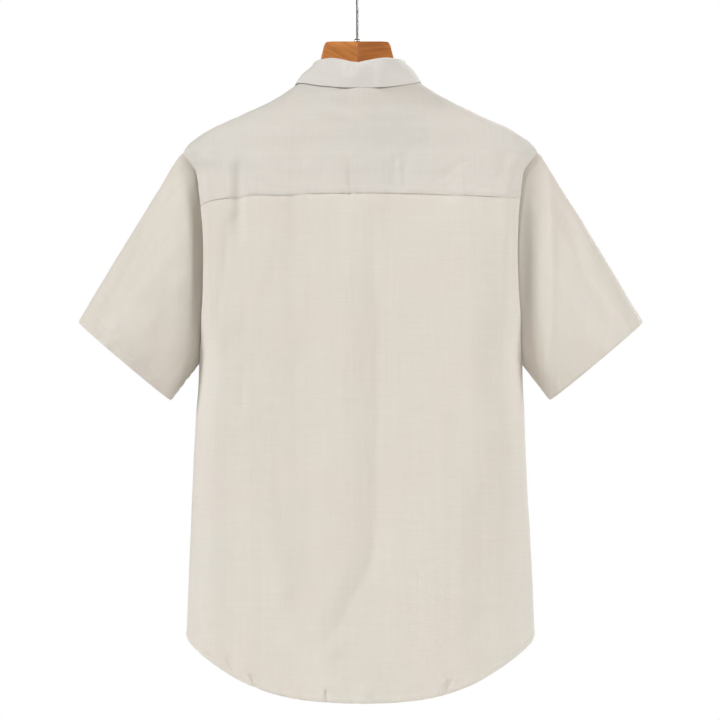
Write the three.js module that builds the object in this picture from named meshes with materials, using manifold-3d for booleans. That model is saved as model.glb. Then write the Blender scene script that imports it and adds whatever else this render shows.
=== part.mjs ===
// A short-sleeved woven shirt with a turn-down collar, hanging on a wooden hanger.
// Millimetres, +Z up. The wearer's front faces -Y and the wearer's left side is at +X.
// The origin is the inner top of the hook, where it rests on a rail.
import * as THREE from 'three';
import Module from 'manifold-3d';
import { mergeVertices } from 'three/addons/utils/BufferGeometryUtils.js';

const wasm = await Module();
wasm.setup();

// Cloth and seams
const clothThickness = 1.5;
const collarThickness = 1.8;
const seamGap = 0.3;

// Where the shirt hangs against the hook, and the heights of its main points
const shirtCentre = -4;
const neckLevel = -163;
const shoulderTipLevel = -258.5;
const underarmLevel = -528;
const yokeSeamEdgeLevel = -323;
const yokeSeamRise = 9;
const hemSideLevel = -873;
const backHemLevel = -951;
const frontHemLevel = -940;
const hemCurve = 2.6;

// Horizontal sections of the body, from the neck down. Each is a flattened ring of the half width and
// depth, more square the larger its square is, with a bulge in the middle where the collar pushes out.
// At the neck the ring tips: the back moves by backRise, and the front goes down by frontDrop.
const bodySections = [
  { level: -163, halfWidth: 66, depth: 30, square: 2, backBulge: 26, frontBulge: 32, backRise: -17, frontDrop: 82 },
  { level: -177, halfWidth: 88, depth: 31, square: 2, backBulge: 26, frontBulge: 32, backRise: -13, frontDrop: 73 },
  { level: -187, halfWidth: 102.5, depth: 31, square: 2, backBulge: 26, frontBulge: 31, backRise: -11, frontDrop: 67 },
  { level: -197.5, halfWidth: 121, depth: 32, square: 2, backBulge: 25, frontBulge: 30, backRise: -9, frontDrop: 60 },
  { level: -207.5, halfWidth: 142.5, depth: 33, square: 2.1, backBulge: 25, frontBulge: 29, backRise: -7, frontDrop: 55 },
  { level: -218, halfWidth: 165, depth: 34, square: 2.2, backBulge: 24, frontBulge: 28, backRise: -5, frontDrop: 49 },
  { level: -228, halfWidth: 187, depth: 36, square: 2.3, backBulge: 23, frontBulge: 27, backRise: -4, frontDrop: 44 },
  { level: -238, halfWidth: 205, depth: 38, square: 2.4, backBulge: 22, frontBulge: 25, backRise: -3, frontDrop: 39 },
  { level: -248, halfWidth: 217, depth: 40, square: 2.6, backBulge: 21, frontBulge: 24, backRise: -2, frontDrop: 34 },
  { level: -258.5, halfWidth: 225, depth: 43, square: 2.9, backBulge: 20, frontBulge: 22, backRise: -1, frontDrop: 30 },
  { level: -288, halfWidth: 213, depth: 53, square: 4, backBulge: 15, frontBulge: 17, backRise: 0, frontDrop: 18 },
  { level: -330, halfWidth: 213, depth: 62, square: 5.5, backBulge: 10, frontBulge: 10, backRise: 0, frontDrop: 8 },
  { level: -395, halfWidth: 213, depth: 70, square: 6, backBulge: 5, frontBulge: 5, backRise: 0, frontDrop: 0 },
  { level: -460, halfWidth: 212, depth: 74, square: 6, backBulge: 2, frontBulge: 2, backRise: 0, frontDrop: 0 },
  { level: -500, halfWidth: 207.5, depth: 75, square: 5.5, backBulge: 1, frontBulge: 1, backRise: 0, frontDrop: 0 },
  { level: -528, halfWidth: 205, depth: 76, square: 5, backBulge: 0, frontBulge: 0, backRise: 0, frontDrop: 0 },
  { level: -600, halfWidth: 211, depth: 77, square: 5, backBulge: 0, frontBulge: 0, backRise: 0, frontDrop: 0 },
  { level: -700, halfWidth: 217, depth: 79, square: 4.6, backBulge: 0, frontBulge: 0, backRise: 0, frontDrop: 0 },
  { level: -800, halfWidth: 222, depth: 82, square: 4.2, backBulge: 0, frontBulge: 0, backRise: 0, frontDrop: 0 },
  { level: -873, halfWidth: 224, depth: 84, square: 4, backBulge: 0, frontBulge: 0, backRise: 0, frontDrop: 0 },
  { level: -960, halfWidth: 225, depth: 86, square: 4, backBulge: 0, frontBulge: 0, backRise: 0, frontDrop: 0 },
];
const bulgeReach = 75;

// The largest folds: a soft ridge, or a trough where the height is below zero, that runs from one place
// to another and fades out at both ends. The width is that of half the fold.
const folds = [
  { side: 'back', topX: -18, topZ: -330, endX: -20, endZ: -900, width: 24, height: -5 },
  { side: 'back', topX: 26, topZ: -360, endX: 18, endZ: -1010, width: 30, height: 5 },
  { side: 'back', topX: 88, topZ: -230, endX: 92, endZ: -520, width: 26, height: -4 },
  { side: 'back', topX: 152, topZ: -600, endX: 20, endZ: -1040, width: 30, height: -9 },
  { side: 'back', topX: -120, topZ: -430, endX: -96, endZ: -1060, width: 34, height: 6 },
  { side: 'back', topX: -168, topZ: -660, endX: -176, endZ: -1040, width: 26, height: -6 },
  { side: 'front', topX: 95, topZ: -300, endX: 70, endZ: -1060, width: 28, height: 8 },
  { side: 'front', topX: 150, topZ: -470, endX: 140, endZ: -1080, width: 26, height: -9 },
  { side: 'front', topX: -100, topZ: -310, endX: -84, endZ: -1050, width: 30, height: 7 },
  { side: 'front', topX: -40, topZ: -480, endX: -30, endZ: -1080, width: 26, height: -7 },
  { side: 'front', topX: -156, topZ: -440, endX: -140, endZ: -1080, width: 26, height: -8 },
  { side: 'front', topX: 20, topZ: -520, endX: 26, endZ: -1080, width: 24, height: 6 },
];

// The crease that draws each side seam in, below the underarm
const sideCrease = { depth: 5, halfAngle: 9, topZ: -540, endZ: -1000 };

// Armholes: an oval from the shoulder tip to the underarm, this many degrees wide to each side
const armholeSpread = 22;
const shoulderSeamForward = 22;

// Sleeves: the outer and the lower corner of the hem edge, its half depth, and the shape between
const sleeveOuter = { x: 359, z: -475 };
const sleeveLower = { x: 241, z: -574 };
const sleeveHalfDepth = 48;
const sleeveCrown = 2;
const sleeveFullness = 5;
const sleeveHollow = 16;
const sleeveHollowAt = 0.12;

// How finely the cloth is drawn
const panelColumns = 28;
const ridgeRows = 6;
const upperArmholeRows = 5;
const lowerArmholeRows = 8;
const bodyRows = 11;
const sleeveRows = 8;

// Collar
const standTopHalfWidth = 53.5;
const standTopShift = 2;
const standTopBack = 50;
const standTopFront = 56;
const standLapColumns = 3;
const standLift = 0.5;
const standLapStep = 1.15;
const leafFoldRadius = 3;
const leafFoldRise = 2;
const leafLift = 0.6;
const leafEndTurn = 174;
const leafFoldSteps = 3;
const leafFallSteps = 3;
const leafBulge = 3;

// The top of the fold round the neck, from the middle of the back (0 degrees) to the front (180)
const foldHeights = [
  { turn: 0, z: -148 },
  { turn: 45, z: -142 },
  { turn: 90, z: -142 },
  { turn: 130, z: -168 },
  { turn: 160, z: -203 },
  { turn: 180, z: -216 },
];

// The place on the body that each stretch of the leaf's edge lies over, and how far off it stays
const leafEdge = [
  { turn: 0, bodyTurn: 0, level: -168, clear: 5 },
  { turn: 45, bodyTurn: 45, level: -171, clear: 3 },
  { turn: 90, bodyTurn: 90, level: -172, clear: 1.5 },
  { turn: 120, bodyTurn: 122, level: -180, clear: 1.5 },
  { turn: 150, bodyTurn: 150, level: -199, clear: 2 },
  { turn: 174, bodyTurn: 168, level: -238, clear: 3.5 },
];

// Placket and buttons
const placketHalfWidth = 16;
const placketEndLevel = -445;
const placketColumns = 4;
const slitHalfWidth = 11;
const placketTopGap = 3;
const overBandGap = 0.6;
const underBandGap = 0.9;
const buttonRadius = 5.5;
const buttonThickness = 2.2;
const buttonHoleRadius = 0.9;
const buttonHoleOffset = 1.6;
const buttonSides = 16;
const buttonHoleSides = 6;
const placketButtons = [
  { level: -236, shank: 1.2 },
  { level: -315, shank: 0.35 },
  { level: -400, shank: 0.35 },
];
const standButtonShank = 0.6;

// Hanger: stations along one half, from the joint in the middle to the root of the arm
const hangerJointGap = 0.3;
const neckStations = [
  { x: 0, top: -118, bottom: -170, half: 7, square: 5 },
  { x: 30, top: -118, bottom: -172, half: 7, square: 5 },
  { x: 38.5, top: -118.6, bottom: -174, half: 7, square: 5 },
  { x: 41.8, top: -122, bottom: -175, half: 7, square: 5 },
  { x: 44, top: -130, bottom: -176, half: 7, square: 4.5 },
  { x: 46.5, top: -141, bottom: -178, half: 7, square: 4 },
  { x: 47.3, top: -150, bottom: -180, half: 7, square: 3.5 },
  { x: 49.5, top: -160, bottom: -183, half: 7, square: 3.2 },
  { x: 56, top: -167, bottom: -188, half: 7, square: 3 },
];
const armRootLevel = -168;
const armSeatGap = 1;
const armHeight = { root: 27, tip: 20 };
const armHalf = { root: 7, tip: 7 };
const armSquare = 2.2;
const armEndLength = 14;
const armRows = 4;
const hangerSectionSides = 14;

// Hook and ferrule
const wireRadius = 1.8;
const hookRadius = 21;
const hookTipAngle = -35;
const hookHeelAngle = 215;
const stemTop = -62;
const stemDepthInWood = 18;
const blockTop = neckStations[0].top;
const ferruleRadius = 3.8;
const ferruleHeight = 3;
const wireArcSteps = 4;
const wireSteps = 44;

// Colours and finishes
const linenBody = { color: 0xdbd5ca, roughness: 0.92, metalness: 0 };
const linenYoke = { color: 0xd5d2cc, roughness: 0.92, metalness: 0 };
const linenCollar = { color: 0xdad9d0, roughness: 0.9, metalness: 0 };
const buttonShell = { color: 0xd8cfbd, roughness: 0.35, metalness: 0 };
const beech = { color: 0xb0723c, roughness: 0.45, metalness: 0 };
const steel = { color: 0xd0d0cc, roughness: 0.25, metalness: 1 };

const degree = Math.PI / 180;
const up = new THREE.Vector3(0, 0, 1);

// Reads a column of a table at any value of its key: a smooth curve through the rows that never
// overshoots them, because the slope at a row is the harmonic mean of the slopes on its two sides.
function tableValue(rows, key, column, at) {
  const sign = Math.sign(rows[1][key] - rows[0][key]);
  const last = rows.length - 1;
  let i = 0;
  while (i < last - 1 && sign * (at - rows[i + 1][key]) > 0) i += 1;
  const slope = (k) => (rows[k + 1][column] - rows[k][column]) / (rows[k + 1][key] - rows[k][key]);
  const slopeAt = (k) => {
    if (k === 0) return slope(0);
    if (k === last) return slope(last - 1);
    const before = slope(k - 1);
    const after = slope(k);
    return before * after <= 0 ? 0 : (2 * before * after) / (before + after);
  };
  const span = rows[i + 1][key] - rows[i][key];
  const t = Math.min(1, Math.max(0, (at - rows[i][key]) / span));
  const from = rows[i][column];
  const to = rows[i + 1][column];
  return from * (1 + 2 * t) * (1 - t) ** 2 + to * t * t * (3 - 2 * t)
    + span * (slopeAt(i) * t * (1 - t) ** 2 - slopeAt(i + 1) * t * t * (1 - t));
}

function sectionValue(column, level) {
  return tableValue(bodySections, 'level', column, level);
}

// The body without folds. A turn of 0 is the middle of the back, a quarter turn is the wearer's left
// side, and half a turn is the middle of the front.
function plainBodyPoint(turn, level) {
  const across = Math.sin(turn);
  const away = Math.cos(turn);
  const atBack = away >= 0;
  const x = sectionValue('halfWidth', level) * across;
  const flatness = Math.sqrt(Math.max(0, 1 - Math.abs(across) ** sectionValue('square', level)));
  const bulgeHeight = sectionValue(atBack ? 'backBulge' : 'frontBulge', level);
  const bulge = bulgeHeight * Math.exp(-((x / bulgeReach) ** 2)) * Math.abs(away);
  const tip = atBack ? sectionValue('backRise', level) : -sectionValue('frontDrop', level);
  const y = (atBack ? 1 : -1) * (sectionValue('depth', level) * flatness + bulge);
  return new THREE.Vector3(x, y, level + tip * away * away);
}

// The direction square to a surface given as a function of two values, from four points beside it
function surfaceNormal(pointAt, u, v, stepU, stepV) {
  const alongU = pointAt(u + stepU, v).sub(pointAt(u - stepU, v));
  const alongV = pointAt(u, v + stepV).sub(pointAt(u, v - stepV));
  return alongU.cross(alongV).normalize();
}

function fade(z, topZ, endZ) {
  const along = (topZ - z) / (topZ - endZ);
  return along <= 0 || along >= 1 ? 0 : Math.sin(Math.PI * along);
}

function foldHeight(point, turn) {
  const side = Math.cos(turn) >= 0 ? 'back' : 'front';
  let height = 0;
  for (const fold of folds) {
    if (fold.side !== side) continue;
    const along = (fold.topZ - point.z) / (fold.topZ - fold.endZ);
    const lineX = fold.topX + (fold.endX - fold.topX) * along;
    const offLine = (point.x - lineX) / fold.width;
    height += fold.height * Math.exp(-offLine * offLine) * fade(point.z, fold.topZ, fold.endZ);
  }
  const offSide = Math.acos(Math.min(1, Math.abs(Math.sin(turn)))) / (sideCrease.halfAngle * degree);
  const crease = sideCrease.depth * Math.exp(-offSide * offSide);
  return height * Math.abs(Math.cos(turn)) - crease * fade(point.z, sideCrease.topZ, sideCrease.endZ);
}

// The outer face of the cloth on the body: the plain body with its folds
function bodyPoint(turn, level) {
  const point = plainBodyPoint(turn, level);
  const normal = surfaceNormal(plainBodyPoint, turn, level, 0.002, -0.2);
  return point.addScaledVector(normal, foldHeight(point, turn));
}

function bodyNormal(turn, level) {
  return surfaceNormal(bodyPoint, turn, level, 0.004, -0.5);
}

// The armhole oval. Its angle is 0 at the shoulder tip, 90 degrees at the back, 180 at the underarm.
function armholeLevel(angle) {
  const middle = (shoulderTipLevel + underarmLevel) / 2;
  return middle + ((shoulderTipLevel - underarmLevel) / 2) * Math.cos(angle);
}

function armholeTurn(side, angle) {
  return side * (Math.PI / 2 - armholeSpread * degree * Math.sin(angle));
}

function armholePoint(side, angle) {
  return bodyPoint(armholeTurn(side, angle), armholeLevel(angle));
}

// A sleeve runs from the armhole (along = 0) to its hem (along = 1). It is full in the middle, and
// hollow just beside the armhole, where the cloth falls in behind the edge of the body.
function sleevePoint(side, angle, along) {
  const start = armholePoint(side, angle);
  const centreX = (sleeveOuter.x + sleeveLower.x) / 2;
  const centreZ = (sleeveOuter.z + sleeveLower.z) / 2;
  const halfX = (sleeveOuter.x - sleeveLower.x) / 2;
  const halfZ = (sleeveOuter.z - sleeveLower.z) / 2;
  const hem = new THREE.Vector3(
    side * (centreX + halfX * Math.cos(angle)),
    sleeveHalfDepth * Math.sin(angle),
    centreZ + halfZ * Math.cos(angle),
  );
  const point = start.lerp(hem, along);
  const swell = Math.sin(Math.PI * along);
  const crown = sleeveCrown * swell * Math.max(0, Math.cos(angle));
  const hollowShape = (along / sleeveHollowAt) * Math.exp(1 - along / sleeveHollowAt);
  const hollow = sleeveHollow * hollowShape * Math.abs(Math.sin(angle));
  const run = Math.hypot(halfX, halfZ);
  point.x += side * crown * (halfX / run);
  point.z += crown * (halfZ / run);
  point.y += (sleeveFullness * swell - hollow) * Math.sin(angle);
  return point;
}

function sleeveNormal(side, angle, along) {
  const point = (turnAngle, run) => sleevePoint(side, turnAngle, run);
  return surfaceNormal(point, angle, along, 0.01, 0.004).multiplyScalar(-side);
}

// Both pieces at an armhole use the mean of their two directions there, so that their edges are mitred
function armholeSeamNormal(side, angle) {
  const body = bodyNormal(armholeTurn(side, angle), armholeLevel(angle));
  return body.add(sleeveNormal(side, angle, 0.006)).normalize();
}

// A panel is a grid of rows, each a list of places { point, normal } on its outer face.
// The edge rows and columns named in gaps are drawn back, by half a seam gap unless told otherwise.
function drawBack(grid, gaps, distance = seamGap / 2) {
  const shift = (edge, inner) => {
    const step = inner.point.clone().sub(edge.point).setLength(distance);
    edge.point = edge.point.clone().add(step);
  };
  const lastRow = grid.length - 1;
  const lastColumn = grid[0].length - 1;
  if (gaps.includes('top')) grid[0].forEach((place, j) => shift(place, grid[1][j]));
  if (gaps.includes('bottom')) grid[lastRow].forEach((place, j) => shift(place, grid[lastRow - 1][j]));
  if (gaps.includes('sides')) {
    for (const row of grid) {
      shift(row[0], row[1]);
      shift(row[lastColumn], row[lastColumn - 1]);
    }
  }
  return grid;
}

// Turns a grid into a closed wall: the outer face, the same face moved in, and the edges between.
// The squares of the two halves are cut in two along mirrored diagonals.
function wallGeometry(grid, thickness, wraps = false) {
  const rows = grid.length;
  const columns = grid[0].length;
  const positions = [];
  for (const depth of [0, thickness]) {
    for (const row of grid) {
      for (const place of row) {
        const point = place.point.clone().addScaledVector(place.normal, -depth);
        positions.push(point.x, point.y, point.z);
      }
    }
  }
  const outer = (i, j) => i * columns + (j % columns);
  const inner = (i, j) => rows * columns + outer(i, j);
  const triangles = [];
  const quad = (a, b, c, d) => triangles.push(a, b, c, a, c, d);
  const lastColumn = wraps ? columns : columns - 1;
  for (let i = 0; i < rows - 1; i += 1) {
    for (let j = 0; j < lastColumn; j += 1) {
      if (j < columns / 2) {
        quad(outer(i, j), outer(i, j + 1), outer(i + 1, j + 1), outer(i + 1, j));
        quad(inner(i, j), inner(i + 1, j), inner(i + 1, j + 1), inner(i, j + 1));
      } else {
        quad(outer(i, j + 1), outer(i + 1, j + 1), outer(i + 1, j), outer(i, j));
        quad(inner(i, j + 1), inner(i, j), inner(i + 1, j), inner(i + 1, j + 1));
      }
    }
  }
  for (let j = 0; j < lastColumn; j += 1) {
    if (j < columns / 2) {
      quad(outer(0, j), inner(0, j), inner(0, j + 1), outer(0, j + 1));
      quad(outer(rows - 1, j), outer(rows - 1, j + 1), inner(rows - 1, j + 1), inner(rows - 1, j));
    } else {
      quad(outer(0, j + 1), outer(0, j), inner(0, j), inner(0, j + 1));
      quad(outer(rows - 1, j + 1), inner(rows - 1, j + 1), inner(rows - 1, j), outer(rows - 1, j));
    }
  }
  if (!wraps) {
    for (let i = 0; i < rows - 1; i += 1) {
      quad(outer(i, 0), outer(i + 1, 0), inner(i + 1, 0), inner(i, 0));
      quad(outer(i, lastColumn), inner(i, lastColumn), inner(i + 1, lastColumn), outer(i + 1, lastColumn));
    }
  }
  const geometry = new THREE.BufferGeometry();
  geometry.setAttribute('position', new THREE.Float32BufferAttribute(positions, 3));
  geometry.setIndex(triangles);
  return geometry;
}

// The directions of a grid's points, worked out from their neighbours
function withGridNormals(points) {
  const lastRow = points.length - 1;
  const lastColumn = points[0].length - 1;
  return points.map((row, i) => row.map((point, j) => {
    const right = points[i][Math.min(j + 1, lastColumn)];
    const left = points[i][Math.max(j - 1, 0)];
    const below = points[Math.min(i + 1, lastRow)][j];
    const above = points[Math.max(i - 1, 0)][j];
    const normal = right.clone().sub(left).cross(below.clone().sub(above)).normalize();
    return { point, normal };
  }));
}

function toSolid(geometry) {
  const plain = geometry.clone();
  plain.deleteAttribute('normal');
  plain.deleteAttribute('uv');
  const merged = mergeVertices(plain, 1e-4);
  const mesh = new wasm.Mesh({
    numProp: 3,
    vertProperties: Float32Array.from(merged.attributes.position.array),
    triVerts: Uint32Array.from(merged.index.array),
  });
  return new wasm.Manifold(mesh);
}

function fromSolid(solid) {
  const mesh = solid.getMesh();
  const geometry = new THREE.BufferGeometry();
  geometry.setAttribute('position', new THREE.Float32BufferAttribute(mesh.vertProperties, 3));
  geometry.setIndex(Array.from(mesh.triVerts));
  return geometry;
}

function cutAway(geometry, tool) {
  return fromSolid(toSolid(geometry).subtract(toSolid(tool)));
}

function piece(name, geometry, finish) {
  const mesh = new THREE.Mesh(geometry, new THREE.MeshStandardMaterial(finish));
  mesh.name = name;
  return mesh;
}

// The rows of the body's panels down to the underarm, shared by yoke, back, front and sleeves so that
// their edges meet point for point. The angle is the place on the armhole oval, where there is one.
const yokeSeamAngle = Math.acos(
  (2 * yokeSeamEdgeLevel - shoulderTipLevel - underarmLevel) / (shoulderTipLevel - underarmLevel),
);

function ridgeRow(k) {
  const down = k / ridgeRows;
  const level = neckLevel + (shoulderTipLevel - neckLevel) * down;
  return { level, seamTurn: Math.PI / 2 + shoulderSeamForward * degree * (1 - down ** 3) };
}

function upperArmholeAngle(k) {
  return (yokeSeamAngle * k) / upperArmholeRows;
}

function lowerArmholeAngle(k) {
  return yokeSeamAngle + ((Math.PI - yokeSeamAngle) * k) / lowerArmholeRows;
}

const columnPlaces = Array.from({ length: panelColumns + 1 }, (_, j) => (2 * j) / panelColumns - 1);

// One row across the back: its places run from the wearer's right edge to the left edge
function backRow(edgeTurn, level, seamShare, armholeAngle) {
  return columnPlaces.map((place) => {
    const turn = place * edgeTurn;
    const rowLevel = level + yokeSeamRise * seamShare * (1 - place * place);
    const atArmhole = armholeAngle !== undefined && Math.abs(place) === 1;
    const normal = atArmhole ? armholeSeamNormal(place, armholeAngle) : bodyNormal(turn, rowLevel);
    return { point: bodyPoint(turn, rowLevel), normal };
  });
}

// One row across the front, from the wearer's left edge to the right edge
function frontRow(edgeTurn, levelAt, armholeAngle) {
  return columnPlaces.map((place) => {
    const turn = Math.PI + place * (Math.PI - edgeTurn);
    const level = levelAt(turn);
    const atArmhole = armholeAngle !== undefined && Math.abs(place) === 1;
    const normal = atArmhole ? armholeSeamNormal(-place, -armholeAngle) : bodyNormal(turn, level);
    return { point: bodyPoint(turn, level), normal };
  });
}

function hemLevel(turn, middleLevel) {
  return middleLevel + (hemSideLevel - middleLevel) * Math.abs(Math.sin(turn)) ** hemCurve;
}

function makeYoke() {
  const grid = [];
  for (let k = 0; k < ridgeRows; k += 1) grid.push(backRow(ridgeRow(k).seamTurn, ridgeRow(k).level, 0));
  for (let k = 0; k <= upperArmholeRows; k += 1) {
    const angle = upperArmholeAngle(k);
    grid.push(backRow(armholeTurn(1, angle), armholeLevel(angle), k / upperArmholeRows, angle));
  }
  return piece('yoke', wallGeometry(drawBack(grid, ['bottom', 'sides']), clothThickness), linenYoke);
}

function makeBack() {
  const grid = [];
  for (let k = 0; k <= lowerArmholeRows; k += 1) {
    const angle = lowerArmholeAngle(k);
    grid.push(backRow(armholeTurn(1, angle), armholeLevel(angle), 1 - k / lowerArmholeRows, angle));
  }
  for (let k = 1; k <= bodyRows; k += 1) {
    grid.push(columnPlaces.map((place) => {
      const turn = (place * Math.PI) / 2;
      const level = underarmLevel + (hemLevel(turn, backHemLevel) - underarmLevel) * (k / bodyRows);
      return { point: bodyPoint(turn, level), normal: bodyNormal(turn, level) };
    }));
  }
  return piece('back', wallGeometry(drawBack(grid, ['top', 'sides']), clothThickness), linenBody);
}

function makeFront() {
  const grid = [];
  for (let k = 0; k < ridgeRows; k += 1) grid.push(frontRow(ridgeRow(k).seamTurn, () => ridgeRow(k).level));
  for (let k = 0; k <= upperArmholeRows; k += 1) {
    const angle = upperArmholeAngle(k);
    grid.push(frontRow(armholeTurn(1, -angle), () => armholeLevel(angle), angle));
  }
  for (let k = 1; k <= lowerArmholeRows; k += 1) {
    const angle = lowerArmholeAngle(k);
    grid.push(frontRow(armholeTurn(1, -angle), () => armholeLevel(angle), angle));
  }
  for (let k = 1; k <= bodyRows; k += 1) {
    const levelAt = (turn) => underarmLevel + (hemLevel(turn, frontHemLevel) - underarmLevel) * (k / bodyRows);
    grid.push(frontRow(Math.PI / 2, levelAt));
  }
  const panel = wallGeometry(drawBack(grid, ['sides']), clothThickness);
  const slitTop = neckLevel;
  const slitEnd = placketEndLevel + placketHalfWidth;
  const slit = new THREE.BoxGeometry(2 * slitHalfWidth, 80, slitTop - slitEnd);
  slit.translate(0, -80, (slitTop + slitEnd) / 2);
  return piece('front', cutAway(panel, slit), linenBody);
}

function makeSleeve(side) {
  const angles = [];
  for (let k = 0; k < upperArmholeRows; k += 1) angles.push(upperArmholeAngle(k));
  for (let k = 0; k <= lowerArmholeRows; k += 1) angles.push(lowerArmholeAngle(k));
  const frontAngles = angles.slice(1, -1).reverse().map((angle) => 2 * Math.PI - angle);
  const ring = angles.concat(frontAngles);
  if (side > 0) ring.reverse();
  const grid = [];
  for (let k = 0; k <= sleeveRows; k += 1) {
    const along = (k / sleeveRows) ** 1.35;
    grid.push(ring.map((angle) => {
      const normal = k === 0 ? armholeSeamNormal(side, angle) : sleeveNormal(side, angle, along);
      return { point: sleevePoint(side, angle, along), normal };
    }));
  }
  const name = side > 0 ? 'sleeve_left' : 'sleeve_right';
  return piece(name, wallGeometry(drawBack(grid, ['top'], seamGap), clothThickness, true), linenBody);
}

// Turns past the middle of the front come back on the other side
function turnFromBack(turn) {
  const whole = Math.abs(turn);
  return whole > Math.PI ? 2 * Math.PI - whole : whole;
}

function standDirection(turn) {
  return new THREE.Vector3(Math.sin(turn), Math.cos(turn), 0);
}

// The collar stand's outer face, from the neck seam (rise = 0) to its top (rise = 1). Its ends lap at
// the front: the wearer's left end lies outside the right one.
function standPoint(turn, rise) {
  const bottom = bodyPoint(turn, neckLevel).addScaledVector(up, standLift);
  const depth = Math.cos(turn) >= 0 ? standTopBack : standTopFront;
  const foldTop = tableValue(foldHeights, 'turn', 'z', turnFromBack(turn) / degree);
  const foldAbove = leafLift + leafFoldRise + leafFoldRadius + collarThickness / 2;
  const top = new THREE.Vector3(
    standTopShift + standTopHalfWidth * Math.sin(turn),
    depth * Math.cos(turn),
    foldTop - foldAbove,
  );
  const lapShare = THREE.MathUtils.smoothstep(Math.abs(turn) / degree, 150, 172);
  const lap = standLapStep * lapShare * Math.sign(turn);
  return bottom.lerp(top, rise).addScaledVector(standDirection(turn), lap);
}

function standNormal(turn, rise) {
  return surfaceNormal((t, r) => standPoint(t, -r), turn, -rise, 0.004, 0.02);
}

// The stand and the leaf have the columns of the yoke and the front at the neck, so that they meet
// point for point. The stand has a few more for its lap, and the leaf stops short of the middle.
function neckTurns() {
  const seamTurn = ridgeRow(0).seamTurn;
  const half = panelColumns / 2;
  const step = (Math.PI - seamTurn) / half;
  const turns = Array.from({ length: half }, (_, j) => (seamTurn * j) / half);
  for (let j = 0; j <= half + standLapColumns; j += 1) turns.push(seamTurn + step * j);
  return turns.slice(1).reverse().map((turn) => -turn).concat(turns);
}

function makeCollarStand() {
  const rows = [1, 0.5, 0];
  const grid = rows.map((rise) => neckTurns().map((turn) => (
    { point: standPoint(turn, rise), normal: standNormal(turn, rise) }
  )));
  return piece('collar_stand', wallGeometry(grid, collarThickness), linenCollar);
}

// The leaf's profile at one turn: up from the stand, over in a half circle, and down to its edge
function leafProfile(turn) {
  const out = standNormal(turn, 1).setZ(0).normalize();
  const root = standPoint(turn, 1).addScaledVector(out, -collarThickness / 2).addScaledVector(up, leafLift);
  const place = (outward, upward) => root.clone().addScaledVector(out, outward).addScaledVector(up, upward);
  const profile = [place(0, 0), place(0, leafFoldRise)];
  for (let k = 1; k <= leafFoldSteps; k += 1) {
    const angle = Math.PI * (1 - k / leafFoldSteps);
    const outward = leafFoldRadius * (1 + Math.cos(angle));
    profile.push(place(outward, leafFoldRise + leafFoldRadius * Math.sin(angle)));
  }
  const edge = (column) => tableValue(leafEdge, 'turn', column, Math.abs(turn) / degree);
  const bodyTurn = Math.sign(turn) * edge('bodyTurn') * degree;
  const away = edge('clear') + collarThickness / 2;
  const end = bodyPoint(bodyTurn, edge('level')).addScaledVector(bodyNormal(bodyTurn, edge('level')), away);
  const start = profile[profile.length - 1];
  for (let k = 1; k <= leafFallSteps; k += 1) {
    const down = k / leafFallSteps;
    const swell = leafBulge * Math.sin(Math.PI * down);
    profile.push(start.clone().lerp(end, down).addScaledVector(out, swell));
  }
  return profile;
}

// The leaf's grid holds the outer face when it is folded: the middle of its cloth moved out by half
function makeCollarLeaf() {
  const profiles = neckTurns().filter((turn) => Math.abs(turn) <= leafEndTurn * degree).map(leafProfile);
  const rows = profiles[0].map((_, i) => profiles.map((profile) => profile[i]));
  const grid = withGridNormals(rows);
  for (const row of grid) {
    for (const place of row) place.point = place.point.clone().addScaledVector(place.normal, collarThickness / 2);
  }
  return piece('collar_leaf', wallGeometry(grid, collarThickness), linenCollar);
}

// A placket band follows the front panel, moved out or in, over the same rows
function makePlacket(name, lift) {
  const levels = [neckLevel - placketTopGap];
  for (let k = 1; k < ridgeRows; k += 1) levels.push(ridgeRow(k).level);
  for (let k = 0; k <= upperArmholeRows; k += 1) levels.push(armholeLevel(upperArmholeAngle(k)));
  for (let k = 1; k <= lowerArmholeRows; k += 1) {
    const level = armholeLevel(lowerArmholeAngle(k));
    if (level > placketEndLevel + 1) levels.push(level);
  }
  levels.push(placketEndLevel);
  const grid = levels.map((level) => {
    const row = [];
    for (let j = 0; j <= placketColumns; j += 1) {
      const x = placketHalfWidth * (1 - (2 * j) / placketColumns);
      const turn = Math.PI - Math.asin(x / sectionValue('halfWidth', level));
      const normal = bodyNormal(turn, level);
      row.push({ point: bodyPoint(turn, level).addScaledVector(normal, lift), normal });
    }
    return row;
  });
  return piece(name, wallGeometry(grid, clothThickness), linenBody);
}

function roundOutline(radius, sides, centre) {
  return Array.from({ length: sides }, (_, k) => {
    const angle = (2 * Math.PI * k) / sides;
    return new THREE.Vector2(Math.cos(angle), Math.sin(angle)).multiplyScalar(radius).add(centre);
  });
}

// The shank is the thread between the cloth and the button's underside
function makeButton(name, seat, normal, shank) {
  const outline = new THREE.Shape(roundOutline(buttonRadius, buttonSides, new THREE.Vector2()));
  for (const sideways of [-1, 1]) {
    for (const upward of [-1, 1]) {
      const centre = new THREE.Vector2(sideways * buttonHoleOffset, upward * buttonHoleOffset);
      outline.holes.push(new THREE.Path(roundOutline(buttonHoleRadius, buttonHoleSides, centre)));
    }
  }
  const settings = { depth: buttonThickness, bevelEnabled: false };
  const button = piece(name, new THREE.ExtrudeGeometry(outline, settings), buttonShell);
  button.quaternion.setFromUnitVectors(up, normal);
  button.position.copy(seat).addScaledVector(normal, shank);
  return button;
}

function makePlacketButtons() {
  return placketButtons.map(({ level, shank }, k) => {
    const normal = bodyNormal(Math.PI, level);
    const seat = bodyPoint(Math.PI, level).addScaledVector(normal, overBandGap + clothThickness);
    return makeButton(`button_${k + 1}`, seat, normal, shank);
  });
}

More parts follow.
